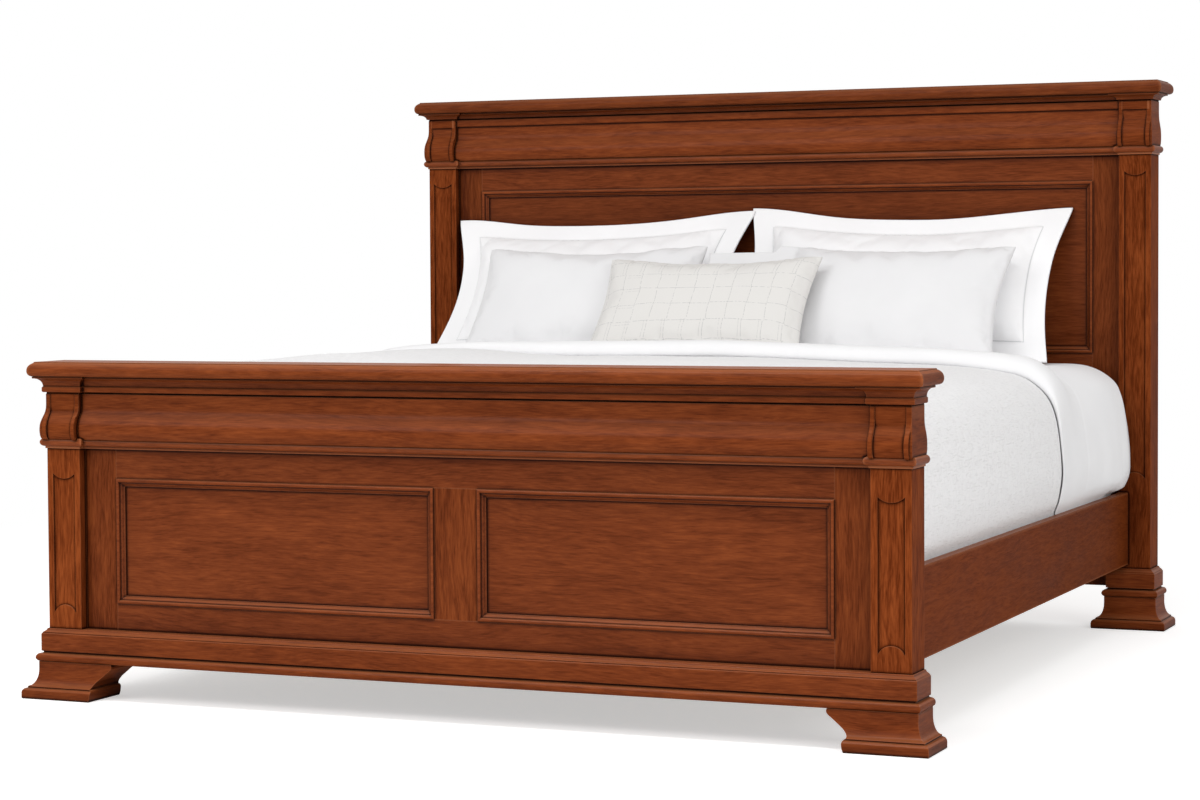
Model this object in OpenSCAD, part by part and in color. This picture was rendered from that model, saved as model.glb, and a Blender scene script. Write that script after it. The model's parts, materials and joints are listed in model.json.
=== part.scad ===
// King size panel bed in stained cherry, with carved corbels, ogee bracket feet and a made-up mattress.
// Millimetres. X runs across the bed, Y from the footboard to the headboard, Z up from the floor.

/* [Overall sizes] */
// Width over the two footboard posts
foot_w = 2064; // [1700:2:2200]
// Width over the two headboard posts
head_w = 2144; // [1780:2:2280]
// Clear length between the footboard posts and the headboard posts
clear_l = 2062; // [1900:2:2200]
// Underside of the footboard cap
foot_h = 746; // [640:1:900]
// Underside of the headboard cap
head_h = 1442; // [1200:1:1600]
// Thickness of both caps
cap_t = 34; // [24:1:45]
// How far the caps stand out past the posts
cap_out = 33; // [15:1:50]

/* [Posts] */
// Width of a footboard post
foot_post_w = 88; // [70:1:110]
// Width of a headboard post
head_post_w = 87; // [70:1:110]
// Depth of a footboard post, front to back
foot_post_d = 90; // [70:1:110]
// Depth of a headboard post, front to back
head_post_d = 100; // [70:1:120]
// Width of the sunk field in a post's face
field_w = 57; // [30:1:70]
// Depth of that sunk field
field_d = 3; // [1:0.5:6]

/* [Base and feet] */
// Height of the bracket feet
foot_top = 85; // [60:1:120]
// Height of the base moulding's upper edge
base_top = 161; // [130:1:200]
// How far the foot pads stand out past the posts
pad_out = 48; // [30:1:60]

/* [Framed panels] */
// How far the framed panels lie behind the post faces
set_back = 24; // [10:1:40]
// How far the frieze and its mouldings lie behind the post faces
frieze_back = 12; // [4:1:24]
// Thickness of the frame
frame_t = 26; // [18:1:35]
// Thickness of a panel
panel_t = 8; // [5:1:14]
// Depth of the groove that holds a panel
groove = 8; // [5:1:12]
// Width of the footboard's outer stiles
foot_stile_w = 83; // [60:1:120]
// Width of the middle stile between the two footboard panels
mullion_w = 104; // [70:1:140]
// Width of the headboard's outer stiles
head_stile_w = 75; // [60:1:120]
// Width of the moulding round each panel
panel_mould_w = 18; // [10:1:28]

/* [Side rails and slats] */
// Thickness of a side rail
rail_t = 27; // [20:1:40]
// Lower edge of a side rail
rail_z0 = 172; // [120:1:250]
// Upper edge of a side rail
rail_z1 = 367; // [300:1:450]
// Number of slats
slat_n = 13; // [8:1:18]
// Width of a slat
slat_w = 90; // [60:1:120]
// Thickness of a slat
slat_t = 18; // [14:1:28]
// Top of the slats, where the mattress lies
slat_top = 346; // [300:1:360]

/* [Centre support] */
// Distance of each centre leg from the middle of the bed
leg_y = 520; // [300:10:800]
// Width of a square centre leg
leg_w = 50; // [40:1:70]
// Lower end of a centre leg above the floor
leg_z0 = 24; // [18:1:40]
// Diameter of the levelling foot's threaded stem
stem_d = 10; // [6:1:14]

/* [Mattress and bedding] */
// Gap between the mattress and each side rail
side_gap = 22; // [5:1:60]
// Gap between the footboard's posts and the mattress
foot_gap = 15; // [8:1:40]
// Gap between the mattress and the front of the headboard's posts
head_gap = 21; // [10:1:60]
// Mattress thickness
mattress_t = 330; // [200:5:380]
// Rounding of the mattress edges
mattress_r = 60; // [30:5:80]
// Height of the made-up bed's crown above the mattress
crown = 76; // [60:1:90]
// Distance of the turned-back sheet's folded edge from the mattress's head end
fold_back = 671; // [600:1:900]
// How far the pillows lie to the left of the middle
pillow_shift = 42; // [0:1:60]
// Width of a rear pillow with its bordered case
sham_w = 905; // [860:5:930]
// Height of a rear pillow with its bordered case
sham_h = 478; // [440:1:520]
// Thickness of a rear pillow
sham_t = 118; // [90:1:125]
// Width of the flat border of a rear pillow's case
sham_border = 45; // [25:1:60]
// Width of the left front pillow
left_pillow_w = 656; // [600:1:700]
// Width of the right front pillow with the open end of its case
right_pillow_w = 820; // [760:1:840]
// Height of both front pillows
pillow_h = 386; // [360:1:410]
// Thickness of both front pillows
pillow_t = 120; // [90:1:125]
// Width of the small cushion
cushion_w = 613; // [500:1:640]
// Height of the small cushion
cushion_h = 345; // [300:1:370]
// Thickness of the small cushion
cushion_t = 100; // [70:1:105]

/* [Hidden] */
$fn = 64;
fx = foot_w / 2;
hx = head_w / 2;
fpi = fx - foot_post_w;
hpi = hx - head_post_w;
hy = foot_post_d + clear_l;
hback = hy + head_post_d;
mid_y = (hback + cap_out - pad_out) / 2;
ff = set_back;
hf = hy + set_back;
panel_in = 12;
gap = 0.3;
bead_z0 = foot_h - 170;
corbel_z0 = foot_h - 146;
corbel_z1 = foot_h - 40;
hbead_z0 = head_h - 167;
hcorbel_z0 = head_h - 141;
hcorbel_z1 = head_h - 20;
hband_z0 = head_h - 40;
f_open_z0 = base_top + 61;
f_open_z1 = foot_h - 235;
f_open_x1 = fpi - foot_stile_w;
f_open_x0 = mullion_w / 2;
h_open_z0 = head_h - 700;
frame_z0 = 110;
low_rail_z1 = 190;
h_open_z1 = head_h - 232;
h_open_x = hpi - head_stile_w;
base_in = 16;
rx0 = hpi;
rx1 = hpi + rail_t;
slat_z0 = slat_top - slat_t;
beam_h = 60;
beam_z0 = slat_z0 - beam_h;
mat_z1 = slat_top + mattress_t;
mat_y0 = foot_post_d + foot_gap + (foot_h > mat_z1 + 60 ? 0 : cap_out);
mat_y1 = hy - head_gap;
mattress_l = mat_y1 - mat_y0;
mh = rx0 - side_gap;
mattress_w = 2 * mh;
fold_y = mat_y1 - fold_back;
hem_z = slat_top + 4;
hook_z0 = rail_z0 + 28;
hook_z1 = rail_z0 + 168;

cherry = [0.43, 0.17, 0.09];
cherry_dark = [0.36, 0.14, 0.08];
plain_wood = [0.72, 0.56, 0.38];
steel = [0.55, 0.56, 0.58];
cotton = [0.95, 0.95, 0.95];

// Profiles are lists of [how far out from the post, height].
function arc(cp, cz, r, a0, a1, n) =
  [for (i = [0:n]) let (a = a0 + (a1 - a0) * i / n) [cp + r * cos(a), cz + r * sin(a)]];

// Torus, fillet, plinth and small ogee of the base, drawn upward from the feet.
function base_profile(z0, z1) = concat(
  arc(14.5, z0 + 9.5, 9.5, -90, 90, 10),
  [[10, z0 + 20], [10, z0 + 23], [14, z0 + 24], [14, z1 - 12]],
  [[12, z1 - 10.5], [11.2, z1 - 8.5], [9.5, z1 - 7], [7, z1 - 5.5], [5.2, z1 - 4], [4.2, z1 - 2], [3, z1]]);

// Cove of a bracket foot above its rounded pad.
foot_profile = concat(
  [[pad_out - 2, 0], [pad_out, 2], [pad_out, 15], [pad_out - 1.5, 20], [pad_out - 5, 23.5],
   [pad_out - 10, 25], [pad_out - 11, 25], [pad_out - 11, 28]],
  [for (i = [0:8]) let (a = i * 11.25) [18 + 18 * (1 - sin(a)), 29 + (foot_top - 47) * (1 - cos(a))]],
  [[18, foot_top]]);

// Bullnose of a cap with a thin step on top.
function cap_profile(z) = [
  [cap_out - 4, z], [cap_out - 1.2, z + 1.6], [cap_out, z + 5], [cap_out, z + 13],
  [cap_out - 0.8, z + 19], [cap_out - 2.8, z + 25], [cap_out - 6, z + 29.5], [cap_out - 10, z + 31.6],
  [cap_out - 12, z + 31.8], [cap_out - 12, z + cap_t]];

// Cove and fillet under a cap.
function cove_profile(z0, z1) = concat(
  [[5, z0]],
  [for (i = [0:9]) let (a = i * 10) [6 + 16 * (1 - cos(a)), z0 + 1 + (z1 - 6 - z0) * sin(a)]],
  [[24, z1 - 5], [24, z1]]);

// Half-round bead over a fillet.
function bead_profile(z0) = concat([[3, z0], [3, z0 + 5]], arc(3, z0 + 14.5, 9.5, -90, 90, 12));

// Flat strip with softened edges.
function strip_profile(z0, z1, p) = [[p - 2, z0], [p, z0 + 2], [p, z1 - 2], [p - 2, z1]];

// The carved S of corbels and frieze: full below, hollow above.
s_curve = [[0.62, 0], [0.82, 0.05], [0.93, 0.1], [0.99, 0.17], [1, 0.23], [0.96, 0.31], [0.85, 0.38],
  [0.68, 0.44], [0.48, 0.5], [0.28, 0.56], [0.12, 0.62], [0.03, 0.69], [0, 0.77], [0, 1]];
function s_profile(z0, z1, out) = [for (p = s_curve) [1.5 + out * p[0], z0 + (z1 - z0) * p[1]]];

// Block whose profile runs round its front and sides with mitred corners.
module wrap(pr, x0, x1, y0, y1, side = 1, back = 0) {
  n = len(pr) - 1;
  intersection() {
    translate([x0 - 200, 0, 0])
      rotate([90, 0, 90])
        linear_extrude(x1 - x0 + 400)
          polygon(concat([for (p = pr) [y0 - p[0], p[1]]],
            back == 0 ? [[y1, pr[n][1]], [y1, pr[0][1]]] : [for (i = [n:-1:0]) [y1 + pr[i][0], pr[i][1]]]));
    translate([0, y1 + 100, 0])
      rotate([90, 0, 0])
        linear_extrude(y1 - y0 + 300)
          polygon(concat([for (p = pr) [x1 + side * p[0], p[1]]],
            [for (i = [n:-1:0]) [x0 - side * pr[i][0], pr[i][1]]]));
  }
}

// Straight run of a profile along X in front of y0, backed to y1.
module run(pr, x0, x1, y0, y1) {
  n = len(pr) - 1;
  translate([x0, 0, 0])
    rotate([90, 0, 90])
      linear_extrude(x1 - x0)
        polygon(concat([for (p = pr) [y0 - p[0], p[1]]], [[y1, pr[n][1]], [y1, pr[0][1]]]));
}

module box(x0, x1, y0, y1, z0, z1) {
  translate([x0, y0, z0])
    cube([x1 - x0, y1 - y0, z1 - z0]);
}

// Moves a piece from the footboard's face to the bed's own origin.
module place() {
  translate([0, -mid_y, 0])
    children();
}

// Sunk field of a post face, with both ends scooped inward.
module scooped_field(xc, y, z0, z1, w, d) {
  rt = (w * w / 4 + 121) / 22;
  rb = (w * w / 4 + 289) / 34;
  translate([xc, y + d, 0])
    rotate([90, 0, 0])
      linear_extrude(d + 1)
        difference() {
          translate([-w / 2, z0])
            square([w, z1 - z0]);
          translate([0, z1 - 11 + rt])
            circle(rt);
          translate([0, z0 + 17 - rb])
            circle(rb);
        }
}

// Slots that take the rail hooks, cut in the inner side of a post.
module hook_slots(s, y0, y1) {
  for (z = [hook_z0 + 14, hook_z0 + 90])
    translate([s > 0 ? rx0 - 1 : -rx0 - 4, y0, z])
      cube([5, y1 - y0, 44]);
}

module foot_post(s) {
  color(cherry)
    place()
      difference() {
        box(s > 0 ? fpi : -fx, s > 0 ? fx : -fpi, 0, foot_post_d, foot_top, foot_h);
        scooped_field(s * (fpi + fx) / 2, 0, base_top + 39, foot_h - 226, field_w, field_d);
        hook_slots(s, foot_post_d - 22, foot_post_d + 1);
      }
}

module head_post(s) {
  color(cherry)
    place()
      difference() {
        box(s > 0 ? hpi : -hx, s > 0 ? hx : -hpi, hy, hback, foot_top, head_h);
        scooped_field(s * (hpi + hx) / 2, hy, head_h - 882, head_h - 209, field_w, field_d);
        hook_slots(s, hy - 1, hy + 22);
      }
}

// Footboard foot: coved on the front and outer side, scrolled on the inner side.
module foot_foot(s) {
  inner = [[fpi - 88, foot_top], [fpi - 89.5, 80], [fpi - 88, 75], [fpi - 83, 70], [fpi - 74, 63],
    [fpi - 63, 54], [fpi - 52, 45], [fpi - 45, 37], [fpi - 42, 31], [fpi - 42, 27.5], [fpi - 46, 26],
    [fpi - 48, 23], [fpi - 48.5, 18], [fpi - 47, 8], [fpi - 44, 0]];
  color(cherry)
    place()
      mirror([s > 0 ? 0 : 1, 0, 0])
        intersection() {
          wrap(foot_profile, fpi - 200, fx, 0, foot_post_d);
          translate([0, foot_post_d + 50, 0])
            rotate([90, 0, 0])
              linear_extrude(300)
                polygon(concat(inner, [[fx + 80, 0], [fx + 80, foot_top]]));
        }
}

// Headboard foot, coved on three sides.
module head_foot(s) {
  color(cherry)
    place()
      mirror([s > 0 ? 0 : 1, 0, 0])
        wrap(foot_profile, hpi - base_in, hx, hy, hback);
}

// Base moulding round a headboard post, with the strip that widens it inward.
module head_base(s) {
  color(cherry)
    place()
      mirror([s > 0 ? 0 : 1, 0, 0])
        difference() {
          wrap(base_profile(foot_top, base_top), hpi - base_in, hx, hy, hback);
          box(hpi, hx, hy, hback + 1, foot_top - 1, base_top + 1);
          box(hpi - base_in - 60, hpi + 1, hf, hback + 1, 100, base_top + 1);
        }
}

// Base moulding across the footboard with mitred returns, and the ledge behind it.
module foot_base() {
  color(cherry)
    place() {
      difference() {
        wrap(base_profile(foot_top, base_top), -fx, fx, 0, foot_post_d);
        box(-fx, fx, 0, foot_post_d + 1, foot_top - 1, base_top + 1);
      }
      box(-fpi, fpi, 0, ff, foot_top, base_top);
    }
}

// Corbel carved on a post: S profile in front, gentler S on its outer side, and a sunk field.
module corbel(s, x0, x1, y0, y1, z0, z1) {
  pr = s_profile(z0, z1, 20);
  n = len(pr) - 1;
  color(cherry)
    place()
      mirror([s > 0 ? 0 : 1, 0, 0])
        difference() {
          intersection() {
            run(pr, x0, x1 + 40, y0, y1);
            translate([0, y1, 0])
              rotate([90, 0, 0])
                linear_extrude(y1 - y0 + 60)
                  polygon(concat([for (p = pr) [x1 + 0.3 * p[0], p[1]]], [[x0, z1], [x0, z0]]));
          }
          box(x0 - 1, x1, y0, y1 + 1, z0 - 1, z1 + 1);
          difference() {
            box(x0 + 11, x1 - 12, y0 - 60, y0 - 0.5, z0 - 1, z1 + 1);
            run(concat([[12, z0 - 2]], [for (p = pr) [p[0] < 4 ? 0.8 : p[0] - 3, p[1]]], [[0.8, z1 + 2]]),
              x0, x1, y0, y0 + 1);
          }
        }
}

// Moulding that crosses the board and breaks forward round both posts.
module broken_run(pr, xi, xo, y0, y1, face) {
  color(cherry)
    place()
      difference() {
        union() {
          wrap(pr, -xo, -xi, y0, y1);
          wrap(pr, xi, xo, y0, y1);
          run(pr, -xi, xi, y0 + frieze_back, face);
        }
        box(-xo, -xi, y0, y1 + 1, pr[0][1] - 1, pr[len(pr) - 1][1] + 1);
        box(xi, xo, y0, y1 + 1, pr[0][1] - 1, pr[len(pr) - 1][1] + 1);
        box(-xi, xi, face, y1 + 60, pr[0][1] - 1, pr[len(pr) - 1][1] + 1);
      }
}

module head_bead() {
  broken_run(bead_profile(hbead_z0), hpi, hx, hy, hback, hf);
}

module foot_bead() {
  broken_run(bead_profile(bead_z0), fpi, fx, 0, foot_post_d, ff);
}

module head_cove() {
  broken_run(cove_profile(hcorbel_z1, head_h), hpi, hx, hy, hback, hf);
}

module foot_cove() {
  broken_run(concat(strip_profile(corbel_z1, corbel_z1 + 13, 8), cove_profile(corbel_z1 + 14, foot_h)),
    fpi, fx, 0, foot_post_d, ff);
}

module foot_frieze() {
  color(cherry)
    place()
      run(s_profile(corbel_z0, corbel_z1, 20), -fpi, fpi, frieze_back, ff);
}

// Headboard frieze with the plain band over it, between the corbels.
module head_frieze() {
  color(cherry)
    place()
      run(concat(s_profile(hcorbel_z0, hband_z0, 20), strip_profile(hband_z0, hcorbel_z1, 8)),
        -hpi, hpi, hy + frieze_back, hf);
}

module head_cap() {
  color(cherry)
    place()
      wrap(cap_profile(head_h), -hx, hx, hy, hback, 1, 1);
}

module foot_cap() {
  color(cherry)
    place()
      wrap(cap_profile(foot_h), -fx, fx, 0, foot_post_d, 1, 1);
}

// Upright frame member with a panel groove on one or both edges, and tongues on its ends if ends = 1.
module stile(x0, x1, z0, z1, y, left, right, ends = 0) {
  color(cherry)
    place()
      difference() {
        union() {
          box(x0, x1, y, y + frame_t, z0, z1);
          if (ends > 0)
            box(x0, x1, y + panel_in, y + panel_in + panel_t, z0 - groove + gap, z1 + groove - gap);
        }
        if (left > 0)
          box(x0 - 1, x0 + groove, y + panel_in, y + panel_in + panel_t, z0 - 20, z1 + 20);
        if (right > 0)
          box(x1 - groove, x1 + 1, y + panel_in, y + panel_in + panel_t, z0 - 20, z1 + 20);
      }
}

// Cross member with stub tongues in the stiles' grooves and a panel groove under or over it.
module cross(x0, x1, z0, z1, y, under, over) {
  color(cherry)
    place()
      difference() {
        union() {
          box(x0, x1, y, y + frame_t, z0, z1);
          box(x0 - groove + gap, x1 + groove - gap, y + panel_in, y + panel_in + panel_t, z0, z1);
        }
        if (under > 0)
          box(x0 - 20, x1 + 20, y + panel_in, y + panel_in + panel_t, z0 - 1, z0 + groove);
        if (over > 0)
          box(x0 - 20, x1 + 20, y + panel_in, y + panel_in + panel_t, z1 - groove, z1 + 1);
      }
}

module panel(x0, x1, z0, z1, y) {
  color(cherry)
    place()
      box(x0 - groove + gap, x1 + groove - gap, y + panel_in, y + panel_in + panel_t,
        z0 - groove + gap, z1 + groove - gap);
}

// Section of the panel moulding: [in from the edge, out from the panel].
pm = [[0, 0], [0, 13], [0.8, 15], [2.4, 16.3], [4.4, 16.6], [6.4, 16], [8, 14.4], [8.6, 12], [8.6, 10.4],
  [10.4, 10.2], [12.4, 9], [13.8, 7], [15, 5], [16.4, 4], [panel_mould_w, 3.8], [panel_mould_w, 0]];

// Four mitred lengths of that moulding round an opening.
module panel_moulding(x0, x1, z0, z1, y) {
  w = panel_mould_w;
  yf = y + panel_in;
  color(cherry_dark)
    place() {
      for (k = [0, 1])
        intersection() {
          translate([x0, 0, 0])
            rotate([90, 0, 90])
              linear_extrude(x1 - x0)
                polygon([for (p = pm) [yf - p[1], k > 0 ? z1 - p[0] : z0 + p[0]]]);
          translate([0, yf + 5, 0])
            rotate([90, 0, 0])
              linear_extrude(40)
                polygon(k > 0 ? [[x0, z1], [x1, z1], [x1 - w, z1 - w], [x0 + w, z1 - w]]
                  : [[x0, z0], [x1, z0], [x1 - w, z0 + w], [x0 + w, z0 + w]]);
        }
      for (k = [0, 1])
        intersection() {
          translate([0, 0, z0])
            linear_extrude(z1 - z0)
              polygon([for (p = pm) [k > 0 ? x1 - p[0] : x0 + p[0], yf - p[1]]]);
          translate([0, yf + 5, 0])
            rotate([90, 0, 0])
              linear_extrude(40)
                polygon(k > 0 ? [[x1, z0], [x1, z1], [x1 - w, z1 - w], [x1 - w, z0 + w]]
                  : [[x0, z0], [x0, z1], [x0 + w, z1 - w], [x0 + w, z0 + w]]);
        }
    }
}

// Side rail with eased upper edges and a recess for the hook plate at each end.
module side_rail(s) {
  color(cherry)
    place()
      mirror([s > 0 ? 0 : 1, 0, 0])
        difference() {
          translate([0, hy, 0])
            rotate([90, 0, 0])
              linear_extrude(clear_l)
                polygon([[rx0, rail_z0], [rx1, rail_z0], [rx1, rail_z1 - 3], [rx1 - 1, rail_z1 - 1],
                  [rx1 - 3, rail_z1], [rx0 + 2, rail_z1], [rx0, rail_z1 - 2]]);
          box(rx0 - 1, rx0 + 3, foot_post_d - 1, foot_post_d + 60, hook_z0, hook_z1);
          box(rx0 - 1, rx0 + 3, hy - 60, hy + 1, hook_z0, hook_z1);
        }
}

// Cleat on the rail's inner side that carries the slats.
module ledger(s) {
  color(plain_wood)
    place()
      mirror([s > 0 ? 0 : 1, 0, 0])
        box(rx0 - 30, rx0, foot_post_d + 70, hy - 70, slat_z0 - 25, slat_z0);
}

// Steel hook plates, one at each end of a rail; each has two hooks that drop into the post.
module rail_hooks(s) {
  color(steel)
    place()
      mirror([s > 0 ? 0 : 1, 0, 0])
        for (e = [0, 1])
          translate([rx0, e > 0 ? hy : foot_post_d, 0])
            mirror([0, e > 0 ? 1 : 0, 0])
              rotate([90, 0, 90])
                linear_extrude(3)
                  difference() {
                    union() {
                      translate([0, hook_z0])
                        square([60, hook_z1 - hook_z0]);
                      for (z = [hook_z0 + 22, hook_z0 + 98])
                        polygon([[0, z + 10], [-10, z + 10], [-10, z], [-18, z], [-18, z + 24],
                          [-14, z + 28], [0, z + 28]]);
                    }
                    for (z = [hook_z0 + 16, hook_z0 + 70, hook_z0 + 124])
                      translate([36, z])
                        circle(2.6);
                  }
}

// Slats joined by two webbing tapes under them.
module slats() {
  pitch = (clear_l - 120 - slat_w) / (slat_n - 1);
  color(plain_wood)
    place() {
      for (i = [0:slat_n - 1])
        translate([-rx0 + 3, foot_post_d + 60 + i * pitch, slat_z0])
          cube([2 * rx0 - 6, slat_w, slat_t]);
      for (x = [-600, 600])
        box(x - 13, x + 13, foot_post_d + 60, hy - 60, slat_z0 - 1.5, slat_z0);
    }
}

module centre_beam() {
  color(plain_wood)
    place()
      box(-22, 22, foot_post_d + 60, hy - 60, beam_z0, slat_z0);
}

// Square leg under the beam with a bore for the levelling foot.
module centre_leg(y) {
  color(plain_wood)
    place()
      translate([0, (foot_post_d + hy) / 2 + y, 0])
        difference() {
          translate([-leg_w / 2, -leg_w / 2, leg_z0])
            cube([leg_w, leg_w, beam_z0 - leg_z0]);
          translate([0, 0, leg_z0 - 1])
            cylinder(d = stem_d + 0.6, h = 71);
        }
}

// Levelling foot: round pad, hexagon for the spanner, threaded stem drawn plain.
module leveller(y) {
  color(steel)
    place()
      translate([0, (foot_post_d + hy) / 2 + y, 0]) {
        cylinder(d = 38, h = 5);
        translate([0, 0, 5])
          cylinder(d = 30, h = 3);
        translate([0, 0, 8])
          cylinder(d = 19, h = 6, $fn = 6);
        translate([0, 0, 14])
          cylinder(d = stem_d, h = 60);
      }
}

// Rounded rectangle standing on z0.
module soft_rect(a0, a1, z0, z1, r) {
  translate([a0 + r, z0])
    square([a1 - a0 - 2 * r, z1 - z0]);
  translate([a0, z0 + r])
    square([a1 - a0, z1 - z0 - 2 * r]);
  for (x = [a0 + r, a1 - r], z = [z0 + r, z1 - r])
    translate([x, z])
      circle(r);
}

// Mattress with its edges rounded in all three views.
module mattress() {
  color(cotton)
    place()
      intersection() {
        translate([0, mat_y1 + 1, 0])
          rotate([90, 0, 0])
            linear_extrude(mattress_l + 2)
              soft_rect(-mh, mh, slat_top, mat_z1, mattress_r);
        translate([-mh - 1, 0, 0])
          rotate([90, 0, 90])
            linear_extrude(mattress_w + 2)
              soft_rect(mat_y0, mat_y1, slat_top, mat_z1, mattress_r);
      }
}

// Half cross-section of the covers over the rail: [how far out from its inner face, share of their height].
swell = [[3, 0.034], [7, 0.099], [9, 0.19], [10, 0.294], [8, 0.418], [3, 0.54], [-7, 0.657], [-25, 0.756],
  [-56, 0.839], [-95, 0.894], [-150, 0.922], [-220, 0.943], [-320, 0.961], [-480, 0.977], [-700, 0.992],
  [120 - rx0, 1]];
// The same as [x, z], from the tucked hem up to the middle.
half = concat([[rx0 - gap, hem_z], [rx0 - gap, rail_z1 + 2]],
  [for (p = swell) [rx0 + p[0], rail_z1 + (mat_z1 + crown - rail_z1) * p[1]]]);

// One arch of the covers at y: drawn in by inset, crown lowered by drop, tapered by k, thickened by up.
function cover_arch(y, inset, drop, k, up) = let (
    n = len(half),
    r = [for (i = [0:n - 1]) let (
        p = half[i],
        m = min(1, i / 10),
        g = max(0, min(1, (rx0 - 40 - p[0]) / 300)),
        x = (p[0] - inset * (1 - m)) * (1 - (1 - k) * 0.12 * m),
        z = i < 3 ? p[1] : hem_z + (p[1] - hem_z - drop * g) * k + up * m)
      [x, z, i < 9 ? 0 : 0.012 * p[0]]])
  concat([for (p = r) [p[0], y, p[1] - p[2]]],
    [for (i = [n - 1:-1:0]) [-r[i][0], y, r[i][1] + r[i][2]]]);

// Inner face of the covers: the mattress outline with a hair's breadth of play.
function mattress_arch(y) = let (
    n = len(half),
    r = mattress_r,
    q = [for (i = [0:n - 1]) i < 8 ? [mh + gap, min(half[i][1], mat_z1 - r)]
      : i < 13 ? [mh - r + (r + 1.6) * cos((i - 8) * 22.5), mat_z1 - r + (r + 1.6) * sin((i - 8) * 22.5)]
      : [half[i][0], mat_z1 + gap]])
  concat([for (p = q) [p[0], y, p[1]]], [for (i = [n - 1:-1:0]) [-q[i][0], y, q[i][1]]]);

// Skin between two sets of arches; a shut one has a wall across its first end.
module skin(outer, inner, shut) {
  n = len(outer[0]);
  m = len(outer);
  q = n * m;
  e = (m - 1) * n;
  polyhedron(
    concat([for (r = outer) for (p = r) p], [for (r = inner) for (p = r) p],
      shut ? [for (r = [outer[0], inner[0]]) [0, r[0][1], (hem_z + mat_z1) / 2]] : []),
    concat(
      [for (j = [0:m - 2]) for (i = [0:n - 2]) let (a = j * n + i, b = a + n)
        for (f = [[a, b + 1, b], [a, a + 1, b + 1],
          [q + a, q + b, q + b + 1], [q + a, q + b + 1, q + a + 1]]) f],
      [for (j = [0:m - 2]) let (a = j * n, b = a + n, c = a + n - 1, d = b + n - 1)
        for (f = [[a, q + b, q + a], [a, b, q + b], [c, q + d, d], [c, q + c, q + d]]) f],
      [for (i = [0:n - 2])
        for (f = [[e + i, q + e + i + 1, q + e + i], [e + i, e + i + 1, q + e + i + 1]]) f],
      shut
        ? concat([for (i = [0:n - 1]) [2 * q, (i + 1) % n, i]],
          [for (i = [0:n - 1]) [2 * q + 1, q + i, q + (i + 1) % n]],
          [[0, q + n - 1, n - 1], [0, q, q + n - 1]])
        : [for (i = [0:n - 2]) for (f = [[i, q + i, q + i + 1], [i, q + i + 1, i + 1]]) f]));
}

// [y, inset, crown drop, taper, how far the inner face starts behind] of the coverlet, from the foot end.
cov = [[mat_y0 - 13, 0, 40, 0.965, 12.7], [mat_y0 - 9, 0, 32, 0.985, 14], [mat_y0, 0, 24, 0.995, 13],
  [mat_y0 + 25, 0, 14, 1, 0], [mat_y0 + 75, 0, 5, 1, 0], [mat_y0 + 195, 0, -4, 1, 0],
  [mat_y0 + 0.44 * (fold_y - mat_y0), 0, -9, 1, 0], [mat_y0 + 0.73 * (fold_y - mat_y0), 0, -6, 1, 0],
  [fold_y - 1, 0, 0, 1, 0],
  [fold_y - 0.3, 9, 0, 1, 0], [fold_y + 60, 9, 8, 1, 0], [fold_y + 150, 9, 28, 1, 0],
  [fold_y + 240, 9, 32, 1, 0], [mat_y1, 9, 32, 1, 0]];
// [y, crown drop, thickness over the coverlet] of the turned-back sheet.
turn = [[fold_y, 0, 3], [fold_y + 5, 0.6, 15], [fold_y + 14, 1.8, 23], [fold_y + 30, 4, 28],
  [fold_y + 60, 8, 26], [fold_y + 150, 28, 12], [fold_y + 240, 32, 9], [mat_y1, 32, 9]];

module coverlet() {
  color(cotton)
    place()
      skin([for (c = cov) cover_arch(c[0], c[1], c[2], c[3], 0)],
        [for (c = cov) mattress_arch(c[0] + c[4])], true);
}

module turned_sheet() {
  color(cotton)
    place()
      skin([for (t = turn) cover_arch(t[0], 0, t[1], 1, t[2])],
        [for (t = turn) cover_arch(t[0], 8.4, t[1], 1, 0.8)], false);
}

// Pillow w wide, h high and t thick, its seams drawn in; flat = flat borders [left, right, bottom, top].
function edge_fall(d, f, r) = d <= f ? 0 : sqrt(max(0, 1 - pow(1 - min(1, (d - f) / r), 2)));
function pillow_side(w, h, t, flat, rim, nu, nv, s) = [for (j = [0:nv]) for (i = [0:nu]) let (
    u = -cos(180 * i / nu), v = -cos(180 * j / nv),
    x = u * w / 2 * (1 - 0.045 * (1 - v * v)),
    z = (v + 1) * h / 2 - (v > 0 ? v * 0.055 * h * (1 - u * u * u * u) : 0),
    a = edge_fall((u + 1) * w / 2, flat[0], w * 0.42) * edge_fall((1 - u) * w / 2, flat[1], w * 0.42),
    b = edge_fall((v + 1) * h / 2, flat[2], h * 0.45) * edge_fall((1 - v) * h / 2, flat[3], h * 0.45))
  [x, s * (rim / 2 + (t - rim) / 2 * pow(a * b, 0.8)), z]];

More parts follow.
